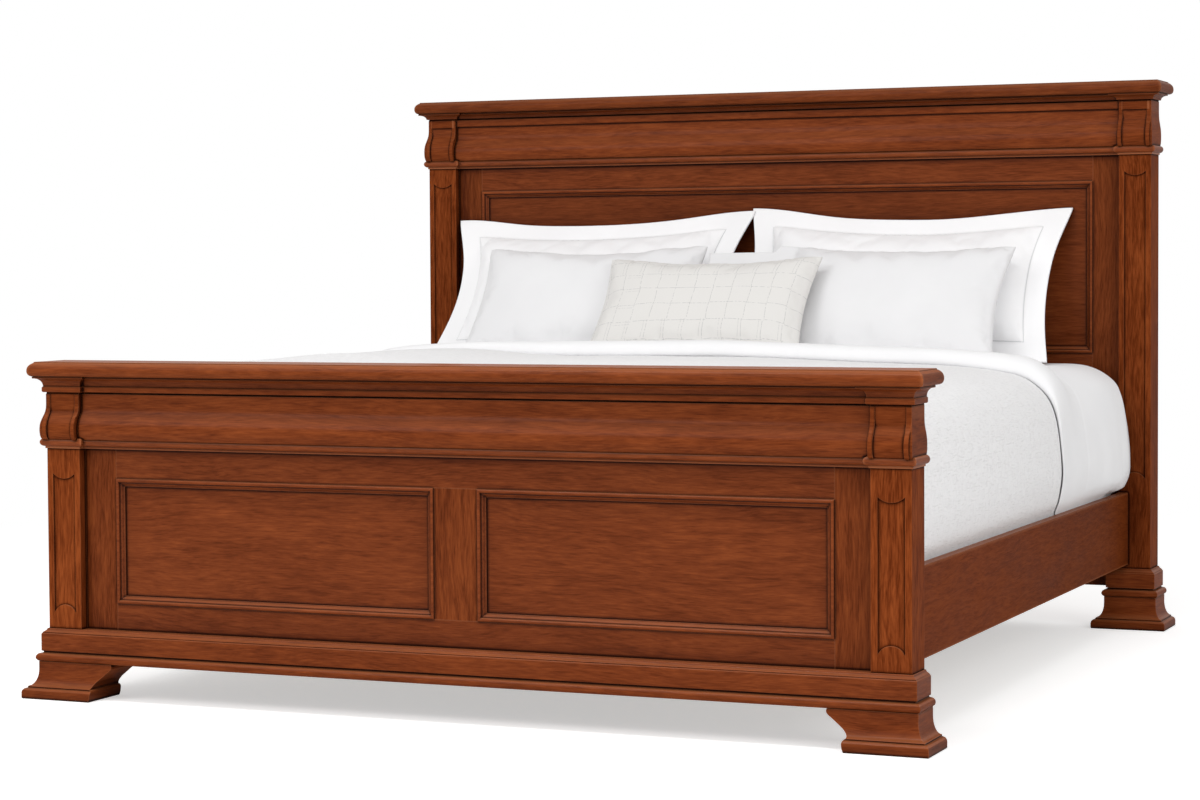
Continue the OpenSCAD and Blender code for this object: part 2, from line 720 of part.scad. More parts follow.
module pillow(w, h, t, flat, rim, nu, nv) {
  n = nu + 1;
  q = (nu + 1) * (nv + 1);
  front = pillow_side(w, h, t, flat, rim, nu, nv, -1);
  rear = pillow_side(w, h, t, flat, rim, nu, nv, 1);
  polyhedron(concat(front, rear), concat(
    [for (j = [0:nv - 1]) for (i = [0:nu - 1]) for (f = [[j * n + i, (j + 1) * n + i + 1, j * n + i + 1],
      [j * n + i, (j + 1) * n + i, (j + 1) * n + i + 1]]) f],
    [for (j = [0:nv - 1]) for (i = [0:nu - 1]) for (f = [[j * n + i, j * n + i + 1, (j + 1) * n + i + 1],
      [j * n + i, (j + 1) * n + i + 1, (j + 1) * n + i]]) [for (k = f) q + k]],
    [for (i = [0:nu - 1]) for (f = [[i, i + 1, q + i + 1], [i, q + i + 1, q + i]]) f],
    [for (i = [0:nu - 1]) let (a = nv * n + i)
      for (f = [[a, q + a + 1, a + 1], [a, q + a, q + a + 1]]) f],
    [for (j = [0:nv - 1]) let (a = j * n, b = (j + 1) * n)
      for (f = [[a, q + b, b], [a, q + a, q + b]]) f],
    [for (j = [0:nv - 1]) let (a = j * n + nu, b = (j + 1) * n + nu)
      for (f = [[a, b, q + b], [a, q + b, q + a]]) f]));
}

// Puts a pillow on its lower seam, leaning back and rolled a little sideways: x across the bed,
// before = how far in front of the mattress's head end, over = how far above the mattress.
module lean(x, before, over, tilt, roll) {
  color(cotton)
    place()
      translate([x - pillow_shift, mat_y1 - before, mat_z1 + over])
        rotate([-tilt, roll, 0])
          children();
}

module sham(s) {
  lean(s * (sham_w / 2 + 2.5), s > 0 ? 206.3 : 218.5, s > 0 ? 46.4 : 56.5, 33, s > 0 ? 1.4 : -0.2)
    pillow(sham_w, sham_h, sham_t, [for (i = [0:3]) sham_border], 6, 20, 13);
}

module pillow_left() {
  lean(-420, 371.7, 61, 37, 0)
    pillow(left_pillow_w, pillow_h, pillow_t, [0, 0, 0, 0], 3, 20, 13);
}

module pillow_right() {
  lean(371, 359, 52.7, 37, 1.4)
    pillow(right_pillow_w, pillow_h, pillow_t, [200, 0, 0, 0], 3, 20, 13);
}

module lumbar_cushion() {
  lean(-11, 495, 65, 40, 0.4)
    pillow(cushion_w, cushion_h, cushion_t, [0, 0, 0, 0], 3, 18, 11);
}

head_post(-1);  // head_post_left
head_post(1);  // head_post_right
head_foot(-1);  // head_foot_left
head_foot(1);  // head_foot_right
head_base(-1);  // head_base_left
head_base(1);  // head_base_right
corbel(-1, hpi, hx, hy, hback, hcorbel_z0, hcorbel_z1);  // head_corbel_left
corbel(1, hpi, hx, hy, hback, hcorbel_z0, hcorbel_z1);  // head_corbel_right
head_bead();
head_frieze();
head_cove();
head_cap();
cross(-h_open_x, h_open_x, h_open_z1, head_h, hf, 1, 0);  // head_top_rail
stile(-hpi, -h_open_x, frame_z0, head_h, hf, 0, 1);  // head_stile_left
stile(h_open_x, hpi, frame_z0, head_h, hf, 1, 0);  // head_stile_right
panel(-h_open_x, h_open_x, h_open_z0, h_open_z1, hf);  // head_panel
panel_moulding(-h_open_x, h_open_x, h_open_z0, h_open_z1, hf);  // head_panel_moulding
cross(-h_open_x, h_open_x, h_open_z0 - 100, h_open_z0, hf, 1, 1);  // head_middle_rail
panel(-h_open_x, h_open_x, low_rail_z1, h_open_z0 - 100, hf);  // head_lower_panel
cross(-h_open_x, h_open_x, frame_z0, low_rail_z1, hf, 0, 1);  // head_bottom_rail
foot_post(-1);  // foot_post_left
foot_post(1);  // foot_post_right
foot_foot(-1);  // foot_foot_left
foot_foot(1);  // foot_foot_right
foot_base();
corbel(-1, fpi, fx, 0, foot_post_d, corbel_z0, corbel_z1);  // foot_corbel_left
corbel(1, fpi, fx, 0, foot_post_d, corbel_z0, corbel_z1);  // foot_corbel_right
foot_bead();
foot_frieze();
foot_cove();
foot_cap();
cross(-f_open_x1, f_open_x1, f_open_z1, foot_h, ff, 1, 0);  // foot_top_rail
cross(-f_open_x1, f_open_x1, frame_z0 - 10, f_open_z0, ff, 0, 1);  // foot_bottom_rail
stile(-fpi, -f_open_x1, frame_z0 - 10, foot_h, ff, 0, 1);  // foot_stile_left
stile(f_open_x1, fpi, frame_z0 - 10, foot_h, ff, 1, 0);  // foot_stile_right
stile(-f_open_x0, f_open_x0, f_open_z0, f_open_z1, ff, 1, 1, 1);  // foot_middle_stile
panel(-f_open_x1, -f_open_x0, f_open_z0, f_open_z1, ff);  // foot_panel_left
panel(f_open_x0, f_open_x1, f_open_z0, f_open_z1, ff);  // foot_panel_right
panel_moulding(-f_open_x1, -f_open_x0, f_open_z0, f_open_z1, ff);  // foot_panel_moulding_left
panel_moulding(f_open_x0, f_open_x1, f_open_z0, f_open_z1, ff);  // foot_panel_moulding_right
side_rail(-1);  // side_rail_left
side_rail(1);  // side_rail_right
ledger(-1);  // ledger_left
ledger(1);  // ledger_right
rail_hooks(-1);  // rail_hooks_left
rail_hooks(1);  // rail_hooks_right
slats();
centre_beam();
centre_leg(-leg_y);  // centre_leg_front
centre_leg(leg_y);  // centre_leg_rear
leveller(-leg_y);  // leveller_front
leveller(leg_y);  // leveller_rear
mattress();
coverlet();
turned_sheet();
sham(-1);  // sham_left
sham(1);  // sham_right
pillow_left();
pillow_right();
lumbar_cushion();
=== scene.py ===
# %% [markdown]
# A king size panel bed, dressed for a product picture
#
# The carcass arrives from the construction model: every post, rail, moulding
# and panel is already there at its real size. This lesson gives the timber its
# stain and lacquer, rounds its arrises, and makes everything soft: mattress,
# coverlet, turned-back sheet and pillows. All lengths are metres in Blender,
# and the bed stands in the middle of the floor with its headboard towards +Y.

import json
import math

import bmesh
import bpy
import numpy as np
from mathutils import Matrix, Vector

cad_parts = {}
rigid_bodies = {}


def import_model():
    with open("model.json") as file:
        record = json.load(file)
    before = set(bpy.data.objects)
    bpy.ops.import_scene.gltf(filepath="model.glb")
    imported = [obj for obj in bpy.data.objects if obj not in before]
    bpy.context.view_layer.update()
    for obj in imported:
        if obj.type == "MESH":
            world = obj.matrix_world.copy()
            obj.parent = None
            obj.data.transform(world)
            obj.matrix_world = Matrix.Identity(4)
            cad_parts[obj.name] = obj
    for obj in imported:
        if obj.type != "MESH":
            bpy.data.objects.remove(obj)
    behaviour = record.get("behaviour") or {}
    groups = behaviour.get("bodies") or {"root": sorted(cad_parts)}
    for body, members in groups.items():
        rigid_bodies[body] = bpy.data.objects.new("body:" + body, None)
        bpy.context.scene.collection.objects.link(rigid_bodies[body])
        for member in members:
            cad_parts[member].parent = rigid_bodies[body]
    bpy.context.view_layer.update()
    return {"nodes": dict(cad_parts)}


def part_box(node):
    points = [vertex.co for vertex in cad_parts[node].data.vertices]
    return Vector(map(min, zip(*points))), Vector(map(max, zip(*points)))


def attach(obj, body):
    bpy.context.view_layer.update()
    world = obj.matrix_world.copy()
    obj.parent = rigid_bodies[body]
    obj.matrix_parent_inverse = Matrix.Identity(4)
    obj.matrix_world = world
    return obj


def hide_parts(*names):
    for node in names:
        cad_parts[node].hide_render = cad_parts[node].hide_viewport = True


for left_over in list(bpy.data.objects):
    bpy.data.objects.remove(left_over)
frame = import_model()
MM = 0.001
MIDDLE = 1118.5  # the bed's middle in the y of the construction's drawings

# %% [markdown]
# The camera
#
# The picture was taken with a long lens from just off the right-hand corner of
# the footboard, a metre above the floor. A camera can be aimed with a Track To
# constraint, but this one was solved from measured corners of the bed, so its
# turn, tilt and roll are known. The three axes are worked out from those
# angles and written straight into its matrix.

# %% Camera
TURN, TILT, ROLL = (math.radians(angle) for angle in (24.56, -2.34, 0.41))
WIDTH, HEIGHT = 1200, 800
FOCAL_LENGTH, CENTRE_X, CENTRE_Y = 2905.77, 479.71, 377.17  # in pixels of that frame
SENSOR = 36
forward = Vector(
    (-math.sin(TURN) * math.cos(TILT), math.cos(TURN) * math.cos(TILT), math.sin(TILT))
)
level = Vector((math.cos(TURN), math.sin(TURN), 0))
above = level.cross(forward)
right = level * math.cos(ROLL) - above * math.sin(ROLL)
up = level * math.sin(ROLL) + above * math.cos(ROLL)


def add_object(name, data):
    """A new object in the scene."""
    added = bpy.data.objects.new(name, data)
    bpy.context.scene.collection.objects.link(added)
    return added


lens = bpy.data.cameras.new("camera")
lens.sensor_width = SENSOR
lens.lens = FOCAL_LENGTH * SENSOR / WIDTH
lens.shift_x = (WIDTH / 2 - CENTRE_X) / WIDTH
lens.shift_y = (CENTRE_Y - HEIGHT / 2) / WIDTH
lens.clip_end = 100
camera = add_object("camera", lens)
camera.matrix_world = Matrix((right, up, -forward)).transposed().to_4x4()
camera.location = (2.67566, -6.81632, 1.01148)
bpy.context.scene.camera = camera
print("lens:", round(lens.lens, 2), "mm")

# %% [markdown]
# Numbers into nodes
#
# A procedural material is mostly arithmetic on textures. Adding Math nodes by
# hand hides the arithmetic, so the class below wraps one output socket and
# gives it the usual operators. Finish.node adds any other node: its settings
# first, then the values or links of its sockets.


# %% Shader arithmetic
def arithmetic(operation):
    """A method that adds the Math node of one operation on two values."""
    return lambda value, other: value.math(operation, other)


class Value:
    """One output socket of a finish. + - * / ** > each add the Math node they stand for."""

    def __init__(self, finish, socket):
        self.finish, self.socket = finish, socket

    def math(self, operation, *others, clamp=False):
        settings = dict(operation=operation, use_clamp=clamp)
        return self.finish.node("Math", settings, (self, *others))

    __add__ = __radd__ = arithmetic("ADD")
    __sub__, __mul__ = arithmetic("SUBTRACT"), arithmetic("MULTIPLY")
    __truediv__, __pow__ = arithmetic("DIVIDE"), arithmetic("POWER")
    __gt__ = arithmetic("GREATER_THAN")

    def __rsub__(self, other):
        return self.math("MULTIPLY_ADD", -1.0, other)

    def __abs__(self):
        return self.math("ABSOLUTE")

    def clamp(self):
        return self.math("ADD", 0.0, clamp=True)


class Finish:
    """A material being mixed. node() adds a node, its settings first and then its sockets."""

    def __init__(self, name):
        self.material = bpy.data.materials.new(name)
        self.material.use_nodes = True
        self.tree = self.material.node_tree
        self.tree.nodes.clear()

    def node(self, kind, settings=None, inputs=(), out=0):
        added = self.tree.nodes.new("ShaderNode" + kind)
        for name, setting in (settings or {}).items():
            if name == "stops":
                self.set_stops(added.color_ramp, setting)
            else:
                setattr(added, name, setting)
        for key, value in inputs.items() if isinstance(inputs, dict) else enumerate(inputs):
            if isinstance(value, Value):
                self.tree.links.new(value.socket, added.inputs[key])
            else:
                added.inputs[key].default_value = value
        return Value(self, added.outputs[out] if len(added.outputs) else None)

    @staticmethod
    def set_stops(ramp, stops):
        while len(ramp.elements) < len(stops):
            ramp.elements.new(0.5)
        for element, (position, colour) in zip(ramp.elements, stops):
            element.position, element.color = position, (*colour, 1)

    def place(self, source="Object"):
        """The three coordinates of the surface: Object metres, or the piece's own UV map."""
        where = self.node("TexCoord", out=source)
        return [self.node("SeparateXYZ", inputs=[where], out=axis) for axis in range(3)]

    def noise(self, x, y, z, detail=2.0, roughness=0.5, distortion=0.0):
        """Soft noise from about 0.3 to 0.7, read at a point of three values."""
        at = self.node("CombineXYZ", inputs=[x, y, z])
        look = dict(Detail=detail, Roughness=roughness, Distortion=distortion)
        return self.node("TexNoise", inputs=dict(Vector=at, Scale=1.0, **look))

    def mix(self, factor, first, second, blend="MIX"):
        """A colour mix; Mix keeps colours, where a Math node would turn them grey."""
        added = self.tree.nodes.new("ShaderNodeMix")
        added.data_type, added.blend_type = "RGBA", blend
        for socket, value in ((0, factor), (6, first), (7, second)):
            if isinstance(value, Value):
                self.tree.links.new(value.socket, added.inputs[socket])
            else:
                added.inputs[socket].default_value = value if socket == 0 else (*value, 1)
        return Value(self, added.outputs[2])

    @staticmethod
    def grain(axis, x, y, z):
        """The coordinates along, across and through a board whose grain runs along axis."""
        return dict(X=(x, y, z), Y=(y, x, z), Z=(z, x, y))[axis]

    def bump(self, height, strength, distance):
        return self.node("Bump", inputs=dict(Height=height, Strength=strength, Distance=distance))

    def done(self, **sockets):
        """Ends the finish in one Principled shader; an underscore in a name stands for a space."""
        values = {name.replace("_", " "): value for name, value in sockets.items()}
        shader = self.node("BsdfPrincipled", inputs=values)
        self.node("OutputMaterial", inputs=[shader])
        return self.material

    def cloth(self, colour, roughness, height, strength, distance):
        """Ends the finish as cloth: rough, its weave raised, with a little sheen."""
        weave = self.bump(height, strength, distance)
        return self.done(Base_Color=colour, Roughness=roughness, Normal=weave, Sheen_Weight=0.1)


# %% [markdown]
# Studio floor and light
#
# The bed stands in a white studio whose floor and wall run into each other.
# The bed stands in a white studio whose floor and wall run into each other.
# A curved backdrop could be built, but a flat floor that fades into a white
# world does the same and can't throw a wrong shadow. The world gives about half
# of the light, evenly, so colours look as they are written. A large box from
# the front left models the mouldings, a strip above them draws their shine,
# and a box on the right keeps the side rail and the drop of the covers from
# going dull.


# %% Floor
HALF_FLOOR = 30.0
FADE_FROM, FADE_OVER = 2.0, 2.4
FLOOR_LIFT = 0.48


def add_mesh(name, points, faces):
    """A new mesh from arrays of points and faces."""
    mesh = bpy.data.meshes.new(name)
    mesh.from_pydata(points.tolist(), [], faces.tolist())
    return mesh


def make_floor():
    """A big square whose far part glows white to the camera and so ends without a horizon."""
    corners = HALF_FLOOR * np.array([(-1, -1, 0), (1, -1, 0), (1, 1, 0), (-1, 1, 0)])
    floor = add_object("studio_floor", add_mesh("studio_floor", corners, np.array([range(4)])))
    paint = Finish("studio_floor")
    x, y, _ = paint.place()
    far = ((x * x + y * y) ** 0.5 - FADE_FROM) / FADE_OVER
    seen = paint.node("LightPath", out="Is Camera Ray")
    fade = far.clamp() * seen
    matt = paint.node("BsdfDiffuse", inputs={"Color": (0.86, 0.86, 0.86, 1)})
    glow = {"Color": (1, 1, 1, 1), "Strength": seen * FLOOR_LIFT}
    lit = paint.node("AddShader", inputs=[matt, paint.node("Emission", inputs=glow)])
    white = paint.node("Emission", inputs={"Color": (1, 1, 1, 1), "Strength": 1.0})
    paint.node("OutputMaterial", inputs=[paint.node("MixShader", inputs=[fade, lit, white])])
    floor.data.materials.append(paint.material)
    print("floor:", 2 * HALF_FLOOR, "m square")


make_floor()

# %% World and lamps
LIT_BY, SEEN_AS = ((1.0, 0.99, 0.98, 1), 0.6), ((1, 1, 1, 1), 1.0)
world = bpy.data.worlds.new("studio")
bpy.context.scene.world = world
world.use_nodes = True
sky = world.node_tree
sky.nodes.clear()
path, choose, ends = (
    sky.nodes.new("ShaderNode" + kind) for kind in ("LightPath", "MixShader", "OutputWorld")
)
sky.links.new(path.outputs["Is Camera Ray"], choose.inputs[0])
for socket, (colour, strength) in enumerate((LIT_BY, SEEN_AS), start=1):
    glow = sky.nodes.new("ShaderNodeBackground")
    glow.inputs["Color"].default_value = colour
    glow.inputs["Strength"].default_value = strength
    sky.links.new(glow.outputs[0], choose.inputs[socket])
sky.links.new(choose.outputs[0], ends.inputs[0])


def softbox(name, place, aim, width, height, power):
    """An area lamp at place, turned to face aim."""
    lamp = bpy.data.lights.new(name, "AREA")
    lamp.shape, lamp.size, lamp.size_y, lamp.energy = "RECTANGLE", width, height, power
    box = add_object(name, lamp)
    box.location = place
    box.rotation_mode = "QUATERNION"
    box.rotation_quaternion = (Vector(aim) - Vector(place)).to_track_quat("-Z", "Y")


softbox("key_box", (-2.6, -5.4, 4.2), (0, -0.2, 0.5), width=3.4, height=1.8, power=94)
softbox("top_strip", (0, -2.4, 4.6), (0, -0.9, 0.2), width=4.6, height=0.5, power=68)
softbox("side_box", (5.4, -2.6, 3.2), (0.8, 0.2, 0.5), width=3.0, height=2.0, power=82)
bpy.context.scene.view_settings.view_transform = "Standard"
print("lamps:", bpy.data.lights.keys())

# %% [markdown]
# Stained cherry
#
# The frame is cherry with a red-brown stain, a darker glaze wiped into every
# quirk, and satin lacquer. The grain could come from a photograph of veneer,
# but then it would stop at an edge; noise stretched along the length of the
# board runs through the solid like real grain. Three layers are stacked: broad
# cloudy figure, fine streaks, and short open pores. A short Ambient Occlusion
# node finds the quirks, which get the glaze and painted shade together, and a
# longer one paints shade into coves and corners. The same node looking inwards
# finds the arrises, which are made lighter as wear and as a painted highlight;
# ledges and the tops of rounds get a painted highlight too. Towards the
# headboard, and on the side faces of the footboard, the timber is painted
# darker as shade.


# %% Cherry finish
MID_STAIN = (0.195, 0.0415, 0.0095)
# The dark colour of the quirks stands for glaze and painted shade together.
GLAZE_AND_SHADE = (0.016, 0.0030, 0.0010)
# The light colour of arrises and ledges stands for wear and a painted highlight together.
WEAR_AND_HIGHLIGHT = (0.40, 0.130, 0.048)


def stained(*shares):
    """The middle colour of the stain with each channel times its share."""
    return tuple(channel * share for channel, share in zip(MID_STAIN, shares))


def cherry(
    name, grain, shift, shade=1.0, gloss=1.0, strong=1.0, glaze_and_shade_amount=1.0, wear_and_highlight_width=2.0, edge=0.6,
    head_painted_shade=0.13, side_painted_shade=0.22,
):
    """Stained cherry whose grain runs along one axis; shift picks another stretch of the log.

    strong is the contrast of the figure, glaze_and_shade_amount the amount of dark glaze and
    painted shade in quirks and corners, wear_and_highlight_width the width in millimetres along
    an arris that is made lighter, partly as wear and partly as a painted highlight, and edge how
    light it gets. head_painted_shade is the share by which the timber is painted darker as shade
    towards the headboard, and side_painted_shade the share for the footboard's side faces. Ledges
    and the tops of rounds get a painted highlight and more coat, so they shine more.
    """
    f = Finish(name)

    def facing(kind, axis):
        """One axis of the surface's direction: flat as built, or smooth and rounded."""
        return f.node("SeparateXYZ", inputs=[f.node("NewGeometry", out=kind)], out=axis)

    def occlusion(distance, samples, inside=False):
        settings = dict(samples=samples, inside=inside)
        return f.node("AmbientOcclusion", settings, {"Distance": distance}, out="AO")

    x, y, z = f.place()
    head = (y + 0.5).clamp()
    sideways = abs(facing("True Normal", "X")) > 0.75
    if grain == "X":
        x, y = x + sideways * (y - x), y + sideways * (x - y)
    along, across, through = f.grain(grain, x, y, z)
    along = along + shift
    wander = f.noise(along * 2.2, across * 5.0, through * 5.0) * 0.05
    across, through = across + wander, through + wander
    clouds = f.noise(along * 3.5, across * 13, through * 13, detail=3.0)
    figure = f.noise(along * 13, across * 120, through * 120, detail=4.0, roughness=0.6)
    streaks = f.noise(along * 30, across * 430, through * 430, detail=2.0)
    pores = f.noise(along * 42, across * 900, through * 900, detail=1.0)
    pores = ((pores - 0.6) * 7).clamp()
    tone = (clouds * 0.40 + figure * 0.66 + streaks * 0.50 - 0.78) * strong + 0.5 - pores * 0.06
    dark, light = stained(0.60, 0.54, 0.5), stained(1.42, 1.55, 1.6)
    stops = [(0.28, dark), (0.5, MID_STAIN), (0.74, light)]
    timber = f.node("ValToRGB", dict(stops=stops), [tone])
    # Quirks get glaze and painted shade together; the wider darkening is painted shade in coves
    # and corners.
    quirk_glaze_and_shade = ((0.975 - occlusion(0.007, 8)) * 5.0).clamp() * glaze_and_shade_amount
    shadow = ((0.97 - occlusion(0.065, 6)) * 1.4 * glaze_and_shade_amount).clamp()
    # Arrises are made lighter, partly as wear and partly as a painted highlight.
    arris_wear_and_highlight = ((0.98 - occlusion(wear_and_highlight_width * MM, 4, inside=True)) * 1.5).clamp()
    # Ledges and the tops of rounds get a painted highlight and more coat.
    painted_ledge_highlight = ((facing("Normal", "Z") - 0.42) * 2.2).clamp()
    timber = f.mix(shadow * 0.65, timber, stained(0.20, 0.14, 0.12))
    timber = f.mix(quirk_glaze_and_shade * 0.92, timber, GLAZE_AND_SHADE)
    timber = f.mix((arris_wear_and_highlight * edge + painted_ledge_highlight * 0.45).clamp(), timber, WEAR_AND_HIGHLIGHT)
    # Painted shade: darker towards the headboard and on the footboard's side faces.
    painted_shade_factor = 1.0 - head * head_painted_shade - (1.0 - head) * sideways * side_painted_shade
    toning = f.node("CombineXYZ", inputs=[painted_shade_factor * shade] * 3)
    timber = f.mix(1.0, timber, toning, "MULTIPLY")
    relief = streaks * 0.4 + figure * 0.3 - pores * 0.5
    return f.done(
        Base_Color=timber,
        Roughness=0.42 + (clouds - 0.5) * 0.25 + pores * 0.1,
        Specular_IOR_Level=0.05 * gloss,
        Coat_Weight=0.13 * gloss + arris_wear_and_highlight * 0.12 + painted_ledge_highlight * 0.25,
        Coat_Roughness=0.27,
        Normal=f.bump(relief, 0.15, 0.0005),
    )


STAINED = {
    "cap": ("X", 1.7, dict(shade=1.03, gloss=0.5, wear_and_highlight_width=9.0, edge=0.8, head_painted_shade=0.29, side_painted_shade=0.3)),
    "board": ("X", 4.1, dict(shade=1.03, gloss=0.6, head_painted_shade=0.08)),
    "corbel": ("X", 6.3, dict(gloss=0.3, wear_and_highlight_width=0.5)),
    "rail": ("X", 9.6, dict(shade=0.96, gloss=0.8, strong=1.05)),
    "panel": ("X", 7.9, dict(shade=0.97, gloss=0.8, strong=0.98, head_painted_shade=0.24)),
    "moulding": ("X", 11.3, dict(shade=1.06)),
    "bead": ("X", 12.9, dict(shade=1.10, glaze_and_shade_amount=0.6, wear_and_highlight_width=7.0, edge=0.7)),
    "cove": ("X", 14.2, dict(shade=1.02, gloss=0.6, glaze_and_shade_amount=1.25)),
    "post": ("Z", 2.3, dict(shade=1.10, gloss=0.1, strong=1.5, head_painted_shade=0.19)),
    "stile": ("Z", 5.7, dict(shade=0.91, gloss=0.5, strong=1.35, head_painted_shade=0.26)),
    # The side rail's arrises and top get a strong painted highlight.
    "side": ("Y", 3.9, dict(
        shade=0.78, gloss=0.1, strong=0.8, glaze_and_shade_amount=0.35, wear_and_highlight_width=6.0, edge=1.2, side_painted_shade=0.0,
    )),
}
CHERRY = {
    kind: cherry("cherry_" + kind, grain, shift, **look)
    for kind, (grain, shift, look) in STAINED.items()
}
print("cherry finishes:", list(CHERRY))

# %% [markdown]
# Plain timber and zinc
#
# What lies under the mattress is never stained: slats, cleats, beam and legs
# are planed softwood. The hook plates and the levelling feet are zinc-plated
# steel, which is grey, a little blue and faintly mottled.


# %% Hidden finishes
def planed(name, grain):
    """Pale planed softwood with long soft growth lines along one axis."""
    f = Finish(name)
    along, across, through = f.grain(grain, *f.place())
    rings = f.noise(along * 1.5, across * 60, through * 60, detail=3.0, distortion=0.4)
    fibre = f.noise(along * 20, across * 500, through * 500)
    stops = [(0.3, (0.42, 0.25, 0.12)), (0.5, (0.60, 0.41, 0.22)), (0.72, (0.70, 0.52, 0.31))]
    timber = f.node("ValToRGB", dict(stops=stops), [rings * 0.75 + fibre * 0.25])
    relief = f.bump(fibre, 0.2, 0.0005)
    return f.done(Base_Color=timber, Roughness=0.62 + rings * 0.1, Normal=relief)


def zinc(name):
    """Zinc-plated steel: grey with faint spangle and fine tumbling marks."""
    f = Finish(name)
    x, y, z = f.place()
    spangle = f.noise(x * 130, y * 130, z * 130, detail=3.0)
    marks = f.bump(f.noise(x * 900, y * 900, z * 900), 0.1, 0.0003)
    metal = f.mix(spangle, (0.42, 0.43, 0.46), (0.62, 0.63, 0.65))
    return f.done(Base_Color=metal, Metallic=1.0, Roughness=0.3 + spangle * 0.2, Normal=marks)


def pair(*names):
    """The left and the right piece of each name."""
    return [f"{name}_{side}" for name in names for side in ("left", "right")]


for finish, nodes in (
    (zinc("zinc_plate"), [*pair("rail_hooks"), "leveller_front", "leveller_rear"]),
    (planed("planed_x", "X"), ["slats"]),
    (planed("planed_y", "Y"), [*pair("ledger"), "centre_beam"]),
    (planed("planed_z", "Z"), ["centre_leg_front", "centre_leg_rear"]),
):
    for node in nodes:
        frame["nodes"][node].data.materials[0] = finish
    print(finish.name, "on", nodes)

# %% [markdown]
# Eased arrises
#
# No joiner leaves an edge knife-sharp: a pass with fine paper rounds it by
# about a millimetre, and that is what catches the light along every moulding.
# The construction solids have sharp edges, so each visible timber piece is
# merged, its flat faces are joined up again, and a Bevel modifier rounds only
# the edges that really turn a corner. The beads, and the lower strips of the
# coves, are glued on a little higher than they were drawn: RAISED gives the
# heights up to which they move fully and from which they don't. The sunk field
# of the headboard's posts ends lower.


# %% Rounding
RAISE = 3.5
RAISED = {
    "foot_bead": (600, 620), "head_bead": (1301, 1320),
    "foot_cove": (722, 744), "head_cove": (1423, 1440),
}
FIELD_END, FIELD_LOWER = (550, 620), 155
FLAT, SHARP = math.radians(0.4), math.radians(26)


def merge(mesh, distance, flat=None):
    """Welds points closer than distance; joins faces that turn by less than flat."""
    shape = bmesh.new()
    shape.from_mesh(mesh)
    bmesh.ops.remove_doubles(shape, verts=shape.verts, dist=distance)
    if flat:
        bmesh.ops.dissolve_limit(shape, angle_limit=flat, verts=shape.verts, edges=shape.edges)
        bmesh.ops.recalc_face_normals(shape, faces=shape.faces)
    shape.to_mesh(mesh)
    shape.free()


def points_of(mesh):
    """The points of a mesh, one in each row."""
    points = np.empty(len(mesh.vertices) * 3)
    mesh.vertices.foreach_get("co", points)
    return points.reshape(-1, 3)


def eased(node, finish, width):
    """A timber piece with its corners rounded by width millimetres, standing for its CAD node."""
    mesh = frame["nodes"][node].data.copy()
    mesh.name = node + "_eased"
    if "custom_normal" in mesh.attributes:
        mesh.attributes.remove(mesh.attributes["custom_normal"])
    merge(mesh, 2e-6, FLAT)
    points = points_of(mesh)
    up = points[:, 2] / MM
    if node in RAISED:
        full, none = RAISED[node]
        points[:, 2] += RAISE * MM * np.clip((none - up) / (none - full), 0, 1)
    if node.startswith("head_post"):
        points[:, 2] -= FIELD_LOWER * MM * ((up > FIELD_END[0]) & (up < FIELD_END[1]))
    mesh.vertices.foreach_set("co", points.ravel())
    mesh.materials.clear()
    return timber(mesh, finish, width, node)


def timber(mesh, finish, width, node):
    """Puts a mesh in the scene as timber: smooth faces, corners rounded by width millimetres."""
    mesh.polygons.foreach_set("use_smooth", np.ones(len(mesh.polygons), bool))
    mesh.set_sharp_from_angle(angle=SHARP)
    mesh.materials.append(finish)
    piece = add_object(mesh.name, mesh)
    rounding = piece.modifiers.new("eased", "BEVEL")
    rounding.limit_method, rounding.angle_limit = "ANGLE", SHARP
    rounding.width, rounding.segments = width * MM, 2
    rounding.harden_normals = True
    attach(piece, "bed")
    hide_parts(node)
    "cherry_dark" if "panel_moulding" in node else "cherry"
    return piece


TIMBER = {
    "board": (1.2, [
        "head_frieze", "foot_frieze", "foot_base", *pair("head_base", "head_foot", "foot_foot"),
    ]),
    "rail": (0.3, [
        "head_top_rail", "head_middle_rail", "head_bottom_rail", "foot_top_rail",
        "foot_bottom_rail",
    ]),
    "panel": (0.3, ["head_panel", "head_lower_panel", *pair("foot_panel")]),
    "moulding": (0.7, ["head_panel_moulding", *pair("foot_panel_moulding")]),
    "bead": (0.7, ["head_bead", "foot_bead"]),
    "cove": (0.7, ["head_cove", "foot_cove"]),
    "corbel": (0.7, pair("head_corbel", "foot_corbel")),
    "post": (1.2, pair("head_post", "foot_post")),
    "stile": (0.3, [*pair("head_stile", "foot_stile"), "foot_middle_stile"]),
    "side": (3.0, pair("side_rail")),
}
timber_pieces = [
    eased(node, CHERRY[kind], width) for kind, (width, nodes) in TIMBER.items() for node in nodes
]
print("eased timber pieces:", len(timber_pieces))

# %% [markdown]
# Surfaces from arrays
#
# Everything soft is worked out as a grid of points: rows and columns of a
# numpy array, turned into a mesh in one go. A UV map in metres goes with each
# grid, so that weave and stitching follow the cloth and not the room.


# %% Grid to mesh
def grid_faces(rows, columns, flip):
    """Quads between neighbouring points of a grid, as an array of indices."""
    index = np.arange(rows * columns).reshape(rows, columns)
    a, b, c, d = index[:-1, :-1], index[:-1, 1:], index[1:, 1:], index[1:, :-1]
    quads = np.stack([a, d, c, b] if flip else [a, b, c, d], axis=-1)
    return quads.reshape(-1, 4)


